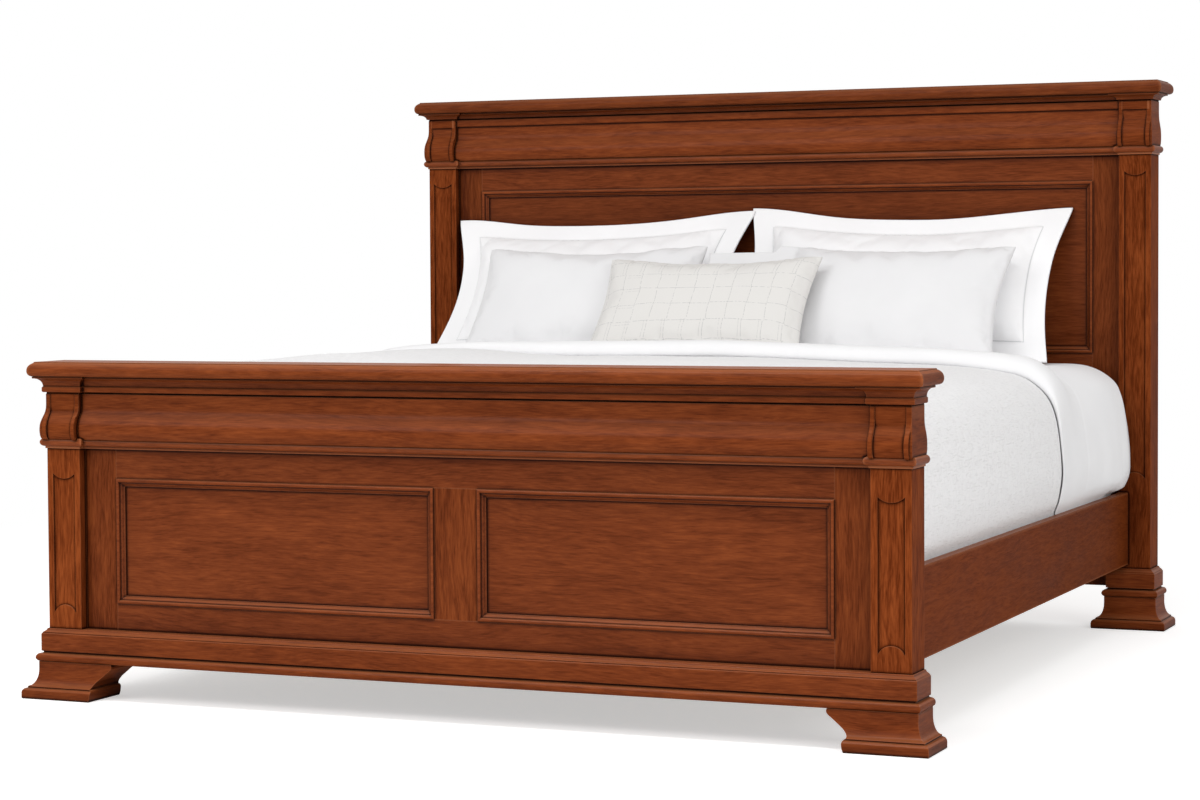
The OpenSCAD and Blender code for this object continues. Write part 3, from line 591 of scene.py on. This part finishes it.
def surface_piece(name, grids, flats, finish, flips=None, weld=True, loose=None):
    """One smooth mesh from several grids of points, each with its flat coordinates on the cloth.

    loose gives each point a number from 0, held, to 1, free to move when the piece is plumped up.
    """
    faces, start = [], 0
    for grid, flip in zip(grids, flips or [False] * len(grids)):
        faces.append(grid_faces(*grid.shape[:2], flip) + start)
        start += grid[..., 0].size
    faces = np.concatenate(faces)
    points = np.concatenate([grid.reshape(-1, 3) for grid in grids])
    flat = np.concatenate([on_cloth.reshape(-1, 2) for on_cloth in flats])
    mesh = add_mesh(name, points, faces)
    layer = mesh.uv_layers.new(name="cloth")
    layer.data.foreach_set("uv", flat[faces.ravel()].astype(np.float32).ravel())
    mesh.polygons.foreach_set("use_smooth", np.ones(len(faces), bool))
    if loose is not None:
        values = np.concatenate([part.ravel() for part in loose]).astype(np.float32)
        mesh.attributes.new("loose", "FLOAT", "POINT").data.foreach_set("value", values)
    if weld:
        merge(mesh, 1e-6)
    mesh.materials.append(finish)
    return add_object(name, mesh)


def ripple(u, v, seed, waves, size):
    """A sum of sines with seeded directions, lengths and phases."""
    draw = np.random.default_rng(seed)
    total = np.zeros(np.broadcast(u, v).shape)
    for _ in range(waves):
        turn, phase = draw.uniform(0, np.pi), draw.uniform(0, 2 * np.pi)
        length = size * draw.uniform(0.7, 1.6)
        total += np.sin((u * np.cos(turn) + v * np.sin(turn)) * 2 * np.pi / length + phase)
    return total / np.sqrt(waves)


def smooth_through(points, count):
    """Catmull-Rom curve through points, read at count places evenly spaced by length."""
    p = np.asarray(points, float)
    p = np.vstack([2 * p[0] - p[1], p, 2 * p[-1] - p[-2]])
    t = np.linspace(0, 1, 24, endpoint=False)[None, :, None]
    a, b, c, d = (p[i : len(p) - 3 + i, None] for i in range(4))
    curve = 0.5 * (
        2 * b + (c - a) * t + (2 * a - 5 * b + 4 * c - d) * t**2 + (3 * b - a - 3 * c + d) * t**3
    )
    curve = np.vstack([curve.reshape(-1, p.shape[1]), p[-2]])
    length = np.r_[0, np.cumsum(np.linalg.norm(np.diff(curve, axis=0), axis=1))]
    even = np.linspace(0, length[-1], count)
    return np.stack([np.interp(even, length, curve[:, k]) for k in range(p.shape[1])], axis=1)


def ease(t):
    """Smooth step from 0 to 1 with level ends."""
    t = np.clip(t, 0, 1)
    return t * t * (3 - 2 * t)

# %% [markdown]
# Caps
#
# The cap is a slab whose nose is nearly a half-round, fuller above than below,
# with a small step where it meets the flat top. The construction solid has a
# coarser nose. Here it is a stack of rings instead: each ring is the slab's
# rectangle grown by the profile's reach at that height, so the corners come
# out mitred by themselves, and many rings make the shine run smoothly.


# %% Caps
UNDER_CAP, TOP_OF_CAP = (12, 0.3), [(20.8, 34), (8, 34)]
NOSE_OF_CAP = [
    (24, 0.3), (28.2, 1.8), (31.2, 5.2), (32.7, 9.5), (33, 14), (32.4, 19), (30.4, 24), (27, 28),
    (23.4, 30.6), (21, 31.4),
]


def make_cap(node, half, front, back, base):
    """Rings of the slab's rectangle, grown by out and raised by up for each profile point."""
    nose = np.vstack([UNDER_CAP, smooth_through(NOSE_OF_CAP, 40), TOP_OF_CAP])
    out, up = nose[:, :1], nose[:, 1:]
    x = np.array([[-1.0, 1, 1, -1]]) * (half + out)
    y = np.where([[True, True, False, False]], front - out, back + out) - MIDDLE
    z = np.broadcast_to(base + up, x.shape)
    points = np.stack([x, y, z], axis=-1).reshape(-1, 3) * MM
    ring = np.arange(len(nose) * 4).reshape(-1, 4)
    low, high = ring[:-1], ring[1:]
    walls = np.stack([low, np.roll(low, -1, 1), np.roll(high, -1, 1), high], axis=-1)
    faces = np.vstack([walls.reshape(-1, 4), ring[:1, ::-1], ring[-1:]])
    return timber(add_mesh(node + "_moulded", points, faces), CHERRY["cap"], 1.0, node)


caps = [
    make_cap("foot_cap", half=1032, front=0, back=90, base=746),
    make_cap("head_cap", half=1072, front=2152, back=2252, base=1442),
]
print("cap rings:", [len(cap.data.vertices) // 4 for cap in caps])

# %% [markdown]
# Corbel borders
#
# The face of each corbel is sunk between two borders that follow its S, and the
# headboard's have a third across the top. The construction solid cuts this
# field only a little, because there is hardly any wood in front of the post. A
# carver leaves the borders proud instead, so they are laid on here: a low dome
# carried up the S. On the right border the dome steps up below the middle.


# %% Corbel borders
S_CURVE = [
    (0.62, 0), (0.82, 0.05), (0.93, 0.1), (0.99, 0.17), (1, 0.23), (0.96, 0.31), (0.85, 0.38),
    (0.68, 0.44), (0.48, 0.5), (0.28, 0.56), (0.12, 0.62), (0.03, 0.69), (0, 0.77), (0, 1),
]
S_REACH, S_POINTS = 20, 70
PLAIN_RISE, UPPER_RISE, STEP_RISE, TOP_RISE = 1.7, 1.1, 2.0, 1.6


def raised_border(x_from, x_to, front, path, height):
    """A dome carried along path, a list of out and up; height has one value for each of them."""
    step = np.gradient(path, axis=0)
    length = np.linalg.norm(step, axis=1, keepdims=True)
    outward = np.stack([step[:, 1], -step[:, 0]], axis=1) / length
    across = np.r_[-1, np.linspace(-1, 1, 13), 1, -1]
    dome = np.r_[0, (1 - np.abs(across[1:-2]) ** 5) * 0.85 + 0.15, 0, 0]
    raised = height[:, None] * dome - 1.0 * (dome == 0)
    out = path[:, :1] + outward[:, :1] * raised
    up = path[:, 1:] + outward[:, 1:] * raised
    x = np.broadcast_to((x_from + x_to) / 2 + (x_to - x_from) / 2 * across, out.shape)
    grid = np.stack([x, front - out - MIDDLE, up], axis=-1)
    ends = [np.broadcast_to(grid[row].mean(axis=0), grid[:1].shape) for row in (0, -1)]
    return np.concatenate([ends[0], grid, ends[1]])


def make_borders(name, inner, outer, front, low, high, across_top):
    """Both borders of the left and the right corbel, and the one across the top if asked for."""
    share = np.linspace(0, 1, S_POINTS)
    points = [(1.5 + S_REACH * out, low + 1 + (high - low - 2) * up) for out, up in S_CURVE]
    path = smooth_through(points, S_POINTS)
    plain = np.full(S_POINTS, PLAIN_RISE)
    stepped = UPPER_RISE + STEP_RISE * (1 - ease((share - 0.5) / 0.035))
    for side, spots in {
        "left": [(-outer, -outer + 11, plain), (-inner - 11, -inner, stepped)],
        "right": [(inner, inner + 10, plain), (outer - 12, outer, stepped)],
    }.items():
        grids = [raised_border(*ends, front, path, height) for *ends, height in spots]
        if across_top:
            x_from, x_to = spots[0][0] + 1, spots[1][1] - 1
            band = np.linspace((1.5, high - 23), (1.5, high - 1), 12)
            grids.append(raised_border(x_from, x_to, front, band, np.full(12, TOP_RISE)))
        flats = [grid[..., ::2] * MM for grid in grids]
        grids = [grid * MM for grid in grids]
        piece = surface_piece(f"{name}_{side}", grids, flats, CHERRY["corbel"])
        print(piece.name, "faces:", len(piece.data.polygons))
        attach(piece, "bed")


make_borders(
    "foot_corbel_border", inner=944, outer=1032, front=0, low=600, high=706, across_top=False,
)
make_borders(
    "head_corbel_border", inner=985, outer=1072, front=2152, low=1301, high=1422, across_top=True,
)

# %% [markdown]
# Cotton, three ways
#
# The sheet and pillowcases are plain percale, the coverlet has a figured weave
# that shows as short crossing marks, and the small cushion is slubby off-white
# linen with a windowpane check of single grey threads. White cloth is never
# pure white: about 0.8 to 0.93 leaves room for light and shade. Weave goes into
# bump, and only the stitching and the grey threads into the colour.


# %% Cloth finishes
STITCH, THREAD, PANE, DIAMOND = 0.0016, 0.0007, 0.056, 42.0
STITCH_GREY, THREAD_GREY = (0.36, 0.36, 0.38), (0.33, 0.33, 0.34)


def percale(name, white, border=None):
    """White cotton with a very fine weave.

    border = (width, height, in) marks a line of stitches that far inside a piece, in metres.
    """
    f = Finish(name)
    u, v, _ = f.place("UV")
    weave = f.noise(u * 1400, v * 300, 0.0) + f.noise(u * 300, v * 1400, 3.0)
    soft = f.noise(u * 7, v * 7, 0.0, detail=3.0)
    dark, light = white - 0.03, white + 0.03
    cotton = f.mix(soft, (dark, dark, dark + 0.012), (light, light, light + 0.010))
    height = weave * 0.2 + soft * 2.0
    if border:
        wide, high, inset = border
        side = wide / 2 - inset - abs(u)
        end = high / 2 - inset - abs(v)
        edge = side.math("MINIMUM", end)
        stitch = (1.0 - abs(edge) / STITCH).clamp()
        dashes = ((u + v) * 1100.0).math("SINE") > -0.3
        cotton = f.mix(stitch * (0.35 + dashes * 0.35), cotton, STITCH_GREY)
        height = height - stitch * 2.5
    return f.cloth(cotton, 0.85, height, 0.25, 0.0008)


def figured(name):
    """Coverlet cotton: short raised dashes along both threads over a fine ground."""
    f = Finish(name)
    u, v, _ = f.place("UV")
    one = (f.noise(u * 38, v * 240, 1.0, detail=2.0) - 0.53) * 7
    two = (f.noise(u * 240, v * 38, 5.0, detail=2.0) - 0.53) * 7
    ground = f.noise(u * 900, v * 900, 0.0)
    marks = one.clamp() + two.clamp()
    cotton = f.mix(marks.clamp() * 0.7, (0.875, 0.872, 0.878), (0.80, 0.796, 0.803))
    return f.cloth(cotton, 0.88, marks + ground * 0.3, 0.5, 0.002)


def windowpane(name):
    """Off-white linen with slubs and a hand-drawn looking grid of single grey dashed threads."""
    f = Finish(name)
    u, v, _ = f.place("UV")
    wobble = f.noise(u * 11, v * 11, 2.0) * 0.012
    slub = f.noise(u * 60, v * 1500, 0.0) + f.noise(u * 1500, v * 60, 4.0)

    def line(where, width):
        """A thread at each whole number of where, as wide as THREAD times width."""
        near = abs(where - where.math("ROUND")) * PANE
        return (width - near / THREAD).clamp()

    def threads(across, along, phase):
        """Lines a pane apart; each pane shifts its line a little, and some lines have a twin."""
        pane = (along / PANE + phase * 3).math("FLOOR")
        hand = f.node("TexWhiteNoise", dict(noise_dimensions="1D"), {"W": pane + phase})
        where = (across + wobble + (hand - 0.5) * 0.006) / PANE + phase
        twin = line(where + 0.16, 1.2) * (hand > 0.80)
        dash = ((f.noise(along * 210, across * 20, 7.0) - 0.40) * 9).clamp()
        return (line(where, 1.35) + twin * 0.8) * dash

    lines = (threads(u, v, 0.15) + threads(v, u, 0.4)).clamp()
    linen = f.mix(slub * 0.5, (0.77, 0.757, 0.733), (0.70, 0.688, 0.668))
    linen = f.mix(lines * 0.68, linen, THREAD_GREY)
    return f.cloth(linen, 0.9, slub * 0.5 - lines * 0.4, 0.4, 0.0009)


def ticking(name):
    """Mattress ticking: warm white knit with a quilted diamond relief."""
    f = Finish(name)
    u, v, _ = f.place("UV")
    one, two = (abs((way * DIAMOND).math("SINE")) for way in (u + v, u - v))
    quilt = one.math("MINIMUM", two) ** 0.5
    knit = f.noise(u * 700, v * 700, 0.0)
    # The quilting lines are painted darker, as the shade of their grooves.
    cloth = f.mix(quilt, (0.66, 0.64, 0.58), (0.80, 0.79, 0.74))
    relief = f.bump(quilt * 4 + knit * 0.4, 0.5, 0.003)
    return f.done(Base_Color=cloth, Roughness=0.9, Normal=relief)

# %% [markdown]
# The mattress
#
# A spring mattress is a box with rounded corners, a panel that swells a little
# on top, and a piped seam round each edge. It could be a bevelled cube, but
# one closed surface is simpler to quilt: each ring is the outline in plan, and
# the rings climb the wall and close over the top and bottom. The piping is a
# ring pushed outwards.

# %% Mattress
MATTRESS_PROFILE = [
    (0.02, -1), (0.5, -1), (0.93, -1), (0.965, -0.9), (0.982, -0.78), (0.994, -0.74),
    (0.983, -0.7), (0.985, 0.0), (0.983, 0.66), (0.992, 0.7), (0.980, 0.74), (0.960, 0.88),
    (0.92, 0.96), (0.5, 0.99), (0.02, 0.99),
]
SQUARENESS = 14


def rounded_plan(half_x, half_y, count):
    """A closed superellipse in plan, nearly a rectangle with round corners, as x and y."""
    turn = np.linspace(0, 2 * np.pi, count, endpoint=False)
    power = 2 / SQUARENESS
    x = np.sign(np.cos(turn)) * np.abs(np.cos(turn)) ** power * half_x
    y = np.sign(np.sin(turn)) * np.abs(np.sin(turn)) ** power * half_y
    return np.r_[x, x[0]], np.r_[y, y[0]]


def make_mattress():
    """Rings from the middle of the base, up the wall and in to the middle of the top."""
    low, high = (np.array(corner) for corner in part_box("mattress"))
    middle, half = (low + high) / 2, (high - low) / 2
    line = smooth_through(MATTRESS_PROFILE, 90)
    plan_x, plan_y = rounded_plan(half[0], half[1], 241)
    x = middle[0] + line[:, :1] * plan_x
    y = middle[1] + line[:, :1] * plan_y
    z = middle[2] + line[:, 1:] * half[2] * np.ones_like(plan_x)
    flat = np.stack([x + z, y], axis=-1)
    finish = ticking("quilted_ticking")
    grid = np.stack([x, y, z], axis=-1)
    piece = surface_piece("made_up_mattress", [grid], [flat], finish)
    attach(piece, "bed")
    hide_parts("mattress")
    return piece


mattress = make_mattress()
print("mattress:", [round(side, 3) for side in mattress.dimensions])

# %% [markdown]
# Coverlet and turned-back sheet
#
# Both are drawn over the mattress like an arch: up from the rail, round the
# shoulder and across. One smooth arch through measured points serves both.
# Along the bed the crown rises and falls a little, and at the foot the arch
# closes over the end of the mattress. The sheet starts as a soft roll where it
# is folded over, stands a finger's breadth proud of the coverlet, and flattens
# towards the pillows.

# %% The arch of the bedding
RAIL, HEM_IN = 985.0, 7
HEM, RAIL_TOP, CROWN = 350.0, 367.0, 752.0
FOOT, HEAD, FOLD = 105.0, 2131.0, 1460.0
SLOPE = -0.004
SWELL = [
    (-3, 0.034), (2, 0.065), (6, 0.101), (10, 0.151), (14, 0.216), (15, 0.3), (11, 0.418),
    (4, 0.54), (-7, 0.657), (-25, 0.756), (-56, 0.839), (-95, 0.894), (-150, 0.922),
    (-220, 0.943), (-320, 0.961), (-480, 0.977), (-700, 0.992), (-865, 1.0),
]
right_half = [(RAIL - HEM_IN, HEM), (RAIL - HEM_IN, RAIL_TOP + 2)]
right_half += [(RAIL + out, RAIL_TOP + (CROWN - RAIL_TOP) * share) for out, share in SWELL]
outline = np.array([(-x, z) for x, z in right_half] + [(0.0, CROWN)] + right_half[::-1])


def bedding_arch(count):
    """The covers' cross-section, left hem to right hem, in millimetres, a little higher left."""
    arch = smooth_through(outline, count)
    arch[:, 1] += SLOPE * arch[:, 0] * ease((arch[:, 1] - 560) / 150)
    return arch


arch_length = np.linalg.norm(np.diff(bedding_arch(801), axis=0), axis=1).sum()
print("arch length over the bed:", round(arch_length), "mm")


# %% Laying the covers
ACROSS = 281
PUFF, PUFF_OUT = 28, 14
SWOLLEN, SHOULDER, PLEAT, BOW = 30, 12, 11, 20


def bell(value, centre, width):
    """A smooth hump of height 1 around centre."""
    return np.exp(-(((value - centre) / width) ** 2))


def lay_cover(y, crown_drop, inset, lift, loose=0.0):
    """Points of the arch at each y: pulled in by inset, its crown lowered, raised by lift.

    In front of the pillows the left side is puffed up; beside them both sides swell outwards, and
    near the headboard a pleat turns in and the hem rises by the length loose. Low on the sides the
    rows round the fold bow towards the foot.
    """
    arch = bedding_arch(ACROSS)
    x, z = arch[None, :, 0], arch[None, :, 1]
    y, crown_drop, inset, lift = (column[:, None] for column in (y, crown_drop, inset, lift))
    pleat = (loose > 0) * PLEAT * ease((y - 1975) / 14) * (1 - ease((z - 380) / 90))
    x = x - np.sign(x) * pleat
    z = z + loose * ease((y - 2085) / 44) ** 2 * (1 - ease((z - 352) / 110))
    top = ease((RAIL - 40 - np.abs(x)) / 300)
    high = ease((z - 400) / 250)
    new_x = x - np.sign(x) * inset * (1 - top)
    new_z = z - crown_drop * top + lift * high
    puffed = 1 - ease((y - 1380) / 150)
    new_z = new_z + PUFF * puffed * ease((-x - 250) / 400) * ease((z - 560) / 130)
    new_x = new_x - PUFF_OUT * puffed * (x < 0) * bell(z, 690, 60)
    swollen = ease((y - 1640) / 330)
    full = ease((z - 364) / (50 - 30 * ease((y - 1960) / 110)))
    out = SWOLLEN * full * (1 - ease((z - 640) / 75)) + 5 * bell(z, 420, 30)
    new_x = new_x + np.sign(x) * swollen * out
    new_z = new_z + SHOULDER * swollen * bell(np.abs(x), 945, 45) * ease((z - 500) / 150)
    new_y = y - BOW * bell(z, 470, 140) * bell(y, FOLD + 10, 160)
    return np.stack([new_x, np.broadcast_to(new_y, new_x.shape), new_z], axis=-1)


def cover_piece(name, grid, finish):
    """The cover as a piece about the middle of the bed, with its flat coordinates."""
    grid[..., 1] -= MIDDLE
    across = np.linspace(-arch_length / 2, arch_length / 2, ACROSS) * MM
    flat = np.stack(np.broadcast_arrays(across[None, :], grid[..., 1] * MM), axis=-1)
    return surface_piece(name, [grid * MM], [flat], finish, weld=False)


def finish_cloth(piece, node, thickness):
    """Prints the cloth's area, gives it its thickness and lets it stand for its CAD node."""
    area = sum(polygon.area for polygon in piece.data.polygons)
    print(piece.name, "area:", round(area, 3), "m2")
    wall = piece.modifiers.new("thickness", "SOLIDIFY")
    wall.thickness, wall.offset = thickness * MM, -1
    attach(piece, "bed")
    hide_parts(node)


# %% Coverlet
CROWN_AT = [105, 130, 180, 300, 700, 1100, 1459, 1610, 1700]
CROWN_DROP = [26, 14, 5, -4, -9, -6, 0, 28, 33]


def close_foot(grid):
    """Rings that shrink to the middle of the hem, closing the arch over the mattress's foot."""
    first = grid[0]
    centre = np.array([0.0, first[0, 1], HEM])
    turn = np.linspace(np.pi / 2, 0, 14)[:, None, None]
    rounding = centre + (first - centre) * (1 - 0.032 * (1 - np.cos(turn)))
    rounding[..., 1] = first[None, :, 1] - 34 * np.sin(turn[:, :, 0])
    shrink = np.linspace(0.02, 1, 26)[:-1, None, None]
    wall = centre + (rounding[0] - centre) * shrink
    wall[..., 1] = rounding[0, 0, 1]
    return np.concatenate([wall, rounding[:-1], grid])


def make_coverlet():
    """Arches from the foot to under the fold, closed at the foot, with slack ripples."""
    spans = [(FOOT + 22, FOLD - 20, 96), (FOLD - 20, FOLD + 60, 30), (FOLD + 60, HEAD - 20, 40)]
    y = np.unique(np.concatenate([np.linspace(*span) for span in spans]))
    drop = np.interp(y, CROWN_AT, CROWN_DROP)
    groove, under = ease((y - FOLD + 6) / 12), ease((y - FOLD - 2) / 14)
    grid = close_foot(lay_cover(y, drop, 5.5 * groove, -6 * under))
    side = ease((np.abs(grid[..., 0]) - 880) / 80)
    slack = ripple(grid[..., 1], grid[..., 2] * 0.5, 11, 7, 420) * 1.6
    grid[..., 0] += np.sign(grid[..., 0]) * side * slack * ease((grid[..., 2] - 372) / 80)
    top = ripple(grid[..., 0], grid[..., 1], 5, 8, 520) * 1.5
    grid[..., 2] += top * ease((grid[..., 2] - 690) / 40)
    return cover_piece("woven_coverlet", grid, figured("figured_cotton"))


finish_cloth(make_coverlet(), "coverlet", 2.4)


# %% Turned-back sheet
NOSE = [
    (12, -2.5), (4, -1), (-2, 6), (-1, 16), (6, 28), (20, 38), (38, 44), (60, 46), (90, 44),
    (120, 35), (150, 22), (195, 12), (240, 9),
]


def make_sheet():
    """Arches behind the fold; the first rows follow the rounded nose of the folded edge."""
    nose = smooth_through(NOSE, 64)
    spans = [(FOLD + 245, 1965, 46), (1968, 2000, 17), (2005, HEAD - 4, 32)]
    back = np.concatenate([np.linspace(*span) for span in spans])
    y = np.r_[FOLD + nose[:, 0], back]
    lift = np.r_[nose[:, 1], np.full(len(back), 9.0)]
    drop = np.interp(y, [FOLD, FOLD + 60, FOLD + 150, FOLD + 240, HEAD], [0, 8, 28, 32, 32])
    proud = np.interp(lift, [-2.5, 0, 12, 27], [-1, 0, 4, 5])
    proud[len(nose):] = 4.2
    grid = lay_cover(y, drop, -proud, lift, loose=15)
    x, z = grid[..., 0].copy(), grid[..., 2].copy()
    near = 1 - ease((grid[..., 1] - FOLD - 60) / 60)
    grid[..., 1] += near * ripple(x, z, 41, 5, 700) * 2.5
    side = ease((np.abs(x) - 900) / 70)
    low = ease((660 - z) / 220)
    late = ease((grid[..., 1] - 1700) / 250)
    pleats = ripple(grid[..., 1], z * 0.12, 23, 6, 95) * 2.4
    grid[..., 0] += np.sign(x) * side * low * pleats * late * ease((z - 366) / 40)
    slack = ripple(grid[..., 1], z, 31, 6, 300) * 1.4
    grid[..., 0] += np.sign(x) * side * slack * ease((z - 372) / 60)
    grid[..., 2] += ripple(x, grid[..., 1], 37, 7, 360) * 1.2 * ease((z - 690) / 40)
    end = ease((grid[..., 1] - (HEAD - 90)) / 86) ** 2
    grid[..., 2] -= end * 24 * ease((z - 560) / 120)
    grid[..., 0] -= np.sign(x) * end * 14 * side
    return cover_piece("turned_back_sheet", grid, percale("white_percale", 0.87))


finish_cloth(make_sheet(), "turned_sheet", 3.0)

# %% [markdown]
# Pillows
#
# A filled pillow is widest in the middle, its sides pull in between the
# corners, and its corners stay thin and pointed. The front and the back are
# each a grid over the unit square: width and height give the outline, and the
# product of two round rises gives the filling. A case with a border stays
# flat outside a stitched line. Small seeded ripples near the seams are the
# puckers of the filling. Each pillow then leans back on its lower seam, and a
# short cloth simulation blows it up until the cloth pulls and wrinkles.


# %% Pillow shape
BORDER_WIDTH = 60
BORDERED, OPEN_LEFT, PLAIN = (BORDER_WIDTH,) * 4, (258, 0, 0, 0), (0, 0, 0, 0)
COLUMNS, ROWS, CLOSER_AT_SEAMS = 121, 67, 1.3
PUCKER = 2.2
BED_TOP, ASIDE = 676, 42


def filled(t, size, borders, reach):
    """Height of the filling at t, from -1 to 1: none on the borders, inside them a round rise."""
    height = 1.0
    for distance, border in zip(((1 + t) * size / 2, (1 - t) * size / 2), borders):
        inside = np.clip((distance - border) / (size * reach), 0, 1)
        height = height * np.sqrt(np.clip(1 - (1 - inside) ** 2, 0, 1))
    return height


def seam_to_seam(count):
    """Numbers from -1 to 1, closer together near both ends."""
    turn = np.linspace(-CLOSER_AT_SEAMS, CLOSER_AT_SEAMS, count)
    return np.sin(turn) / math.sin(CLOSER_AT_SEAMS)


def pillow_grids(size, flat, rim, seed, pull=0.05, flare=0.0, dip=0.06, step=0.0):
    """Front and back of a pillow standing on its lower seam, in millimetres.

    flat is the border's width left, right, below and above, and rim its thickness. The sides are
    pulled in between the corners and the top seam dips between its tips; flare throws the upper
    tips outwards, and step lowers the flat open end of the case. Also gives the cloth coordinates,
    and how free each point is.
    """
    wide, high, thick = size
    u, v = seam_to_seam(COLUMNS)[None, :], seam_to_seam(ROWS)[:, None]
    x = u * wide / 2 * (1 - pull * (1 - v**2) ** 1.2 + flare * ease(v * 1.4 - 0.4))
    end = max(flat[0] - BORDER_WIDTH, 0) / wide * 2
    tips = np.clip((u + 1 - end) / (2 - end) * 2 - 1, -1, 1)
    sag = dip * 0.5 * (1 + np.cos(np.pi * np.abs(tips) ** 1.35))
    lower = step * (1 - ease((u + 1 - end) / 0.05 + 0.5)) if step else 0
    z = (v + 1) * high / 2 - np.clip(v, 0, 1) * (sag * high + lower)
    filling = (filled(u, wide, flat[:2], 0.42) * filled(v, high, flat[2:], 0.45)) ** 0.8
    near = np.clip(1.6 * filling, 0, 1) * (1 - filling) * 2
    flat_u, flat_v = u * wide / 2 + 0 * v, v * high / 2 + 0 * u
    border = 1 - np.clip(filling * 6, 0, 1)
    grids = []
    for side in (-1, 1):
        wave = ripple(flat_u, flat_v, seed + side, 9, 110) * PUCKER * near
        soft = ripple(flat_u, flat_v, seed + 7 + side, 7, 330) * 2.5 * filling
        y = side * (rim / 2 + (thick - rim) / 2 * filling + wave + soft)
        if max(flat) > 0:
            y = y + ripple(flat_u, flat_v, seed + 3, 5, 260) * 2.0 * border
        grids.append(np.stack([x + 0 * v, y, z], axis=-1))
    flat_map = np.stack([flat_u, flat_v], axis=-1) * MM
    return grids, flat_map, np.clip(filling * 4, 0, 1)


def lean_back(grid, x, before, over, tilt, roll):
    """Tilts and rolls a pillow about its lower seam and sets it on the bed, in metres.

    before is its distance from the headboard, and over its height over the bed's top.
    """
    t, r = math.radians(tilt), math.radians(roll)
    gx, gy, gz = grid[..., 0], grid[..., 1], grid[..., 2]
    back, height = gy * math.cos(t) + gz * math.sin(t), gz * math.cos(t) - gy * math.sin(t)
    across = gx * math.cos(r) + height * math.sin(r)
    height = height * math.cos(r) - gx * math.sin(r)
    place = [across + x - ASIDE, back + HEAD - before - MIDDLE, height + BED_TOP + over]
    return np.stack(place, axis=-1) * MM


# %% Filling
FRAMES = 20
MOVE_FORWARD, MOVE_BACK = 9, 0.35


def plump_up(piece):
    """Lets Blender's cloth fill the piece like a ticking: cut 2 % too large and blown up.

    Its border is held, no point may move further than MOVE_FORWARD millimetres, and what moves
    back, against the next pillow, only goes the share MOVE_BACK of that.
    """
    mesh = piece.data
    loose = np.empty(len(mesh.vertices), np.float32)
    mesh.attributes["loose"].data.foreach_get("value", loose)
    mesh.attributes.remove(mesh.attributes["loose"])
    start = points_of(mesh)
    held = piece.vertex_groups.new(name="held")
    held.add(np.flatnonzero(loose < 0.02).tolist(), 1.0, "REPLACE")
    cloth = piece.modifiers.new("filling", "CLOTH")
    settings = cloth.settings
    settings.use_pressure, settings.uniform_pressure_force = True, 4
    settings.shrink_min, settings.mass, settings.vertex_group_mass = -0.02, 0.2, "held"
    settings.effector_weights.gravity = 0
    cloth.point_cache.frame_start, cloth.point_cache.frame_end = 1, FRAMES
    for number in range(1, FRAMES + 1):
        bpy.context.scene.frame_set(number)
    plump = piece.evaluated_get(bpy.context.evaluated_depsgraph_get())
    move = points_of(plump.data) - start
    piece.modifiers.remove(cloth)
    piece.vertex_groups.remove(held)
    bpy.context.scene.frame_set(1)
    far = np.linalg.norm(move, axis=1, keepdims=True)
    limit = MOVE_FORWARD * MM * (MOVE_BACK + (1 - MOVE_BACK) * (move[:, 1:2] < 0))
    move *= limit * np.tanh(far / limit) / np.maximum(far, 1e-9) * ease(loose[:, None])
    mesh.vertices.foreach_set("co", (start + move).ravel())
    mesh.update()
    print(piece.name, "plumped up by", round(float(np.abs(move).max()) / MM, 1), "mm at most")


def with_seams(front, back):
    """Two grids and the strips between their left, right, lower and upper edges."""
    strips = [np.stack([front[:, column], back[:, column]]) for column in (0, -1)]
    strips += [np.stack([front[row], back[row]]) for row in (0, -1)]
    return [front, back, *strips]


def make_pillow(name, node, size, flat, rim, stand, finish, seed, slot="cotton", **shape):
    """Front, back and the seam between them as one closed piece."""
    grids, flat_map, loose = pillow_grids(size, flat, rim, seed, **shape)
    front, back = (lean_back(grid, *stand) for grid in grids)
    piece = surface_piece(
        name, with_seams(front, back), with_seams(flat_map, flat_map), finish,
        flips=[False, True, False, True, True, False], loose=with_seams(loose, loose),
    )
    plump_up(piece)
    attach(piece, "bed")
    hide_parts(node)
    print(name, [round(side, 3) for side in piece.dimensions])


# %% Five pillows
for side, high, stand, seed, shape in (
    ("left", 478, (-463, 224, 54, 33, -1.2), 101, dict(pull=0.09, flare=0.02, dip=0.07)),
    ("right", 485, (434, 206.3, 54, 32, 0.6), 131, dict(pull=0.07, flare=0.012, dip=0.08)),
):
    stitched = percale("bordered_percale_" + side, 0.93, (905 * MM, high * MM, BORDER_WIDTH * MM))
    make_pillow(
        "bordered_pillow_" + side, "sham_" + side, (905, high, 118), BORDERED, 6, stand, stitched,
        seed, **shape,
    )
cotton = percale("pillow_percale", 0.795)
make_pillow(
    "plain_pillow_left", "pillow_left", (664, 378, 120), PLAIN, 3, (-418, 371.7, 59, 37, -0.4),
    cotton, 151,
)
make_pillow(
    "plain_pillow_right", "pillow_right", (866, 386, 120), OPEN_LEFT, 3, (347, 359, 51, 37, 0.6),
    cotton, 171, dip=0.05, step=23,
)
make_pillow(
    "checked_cushion", "lumbar_cushion", (613, 345, 100), PLAIN, 3, (-16, 495, 65, 40, -0.4),
    windowpane("windowpane_linen"), 191, slot="cushion",
)
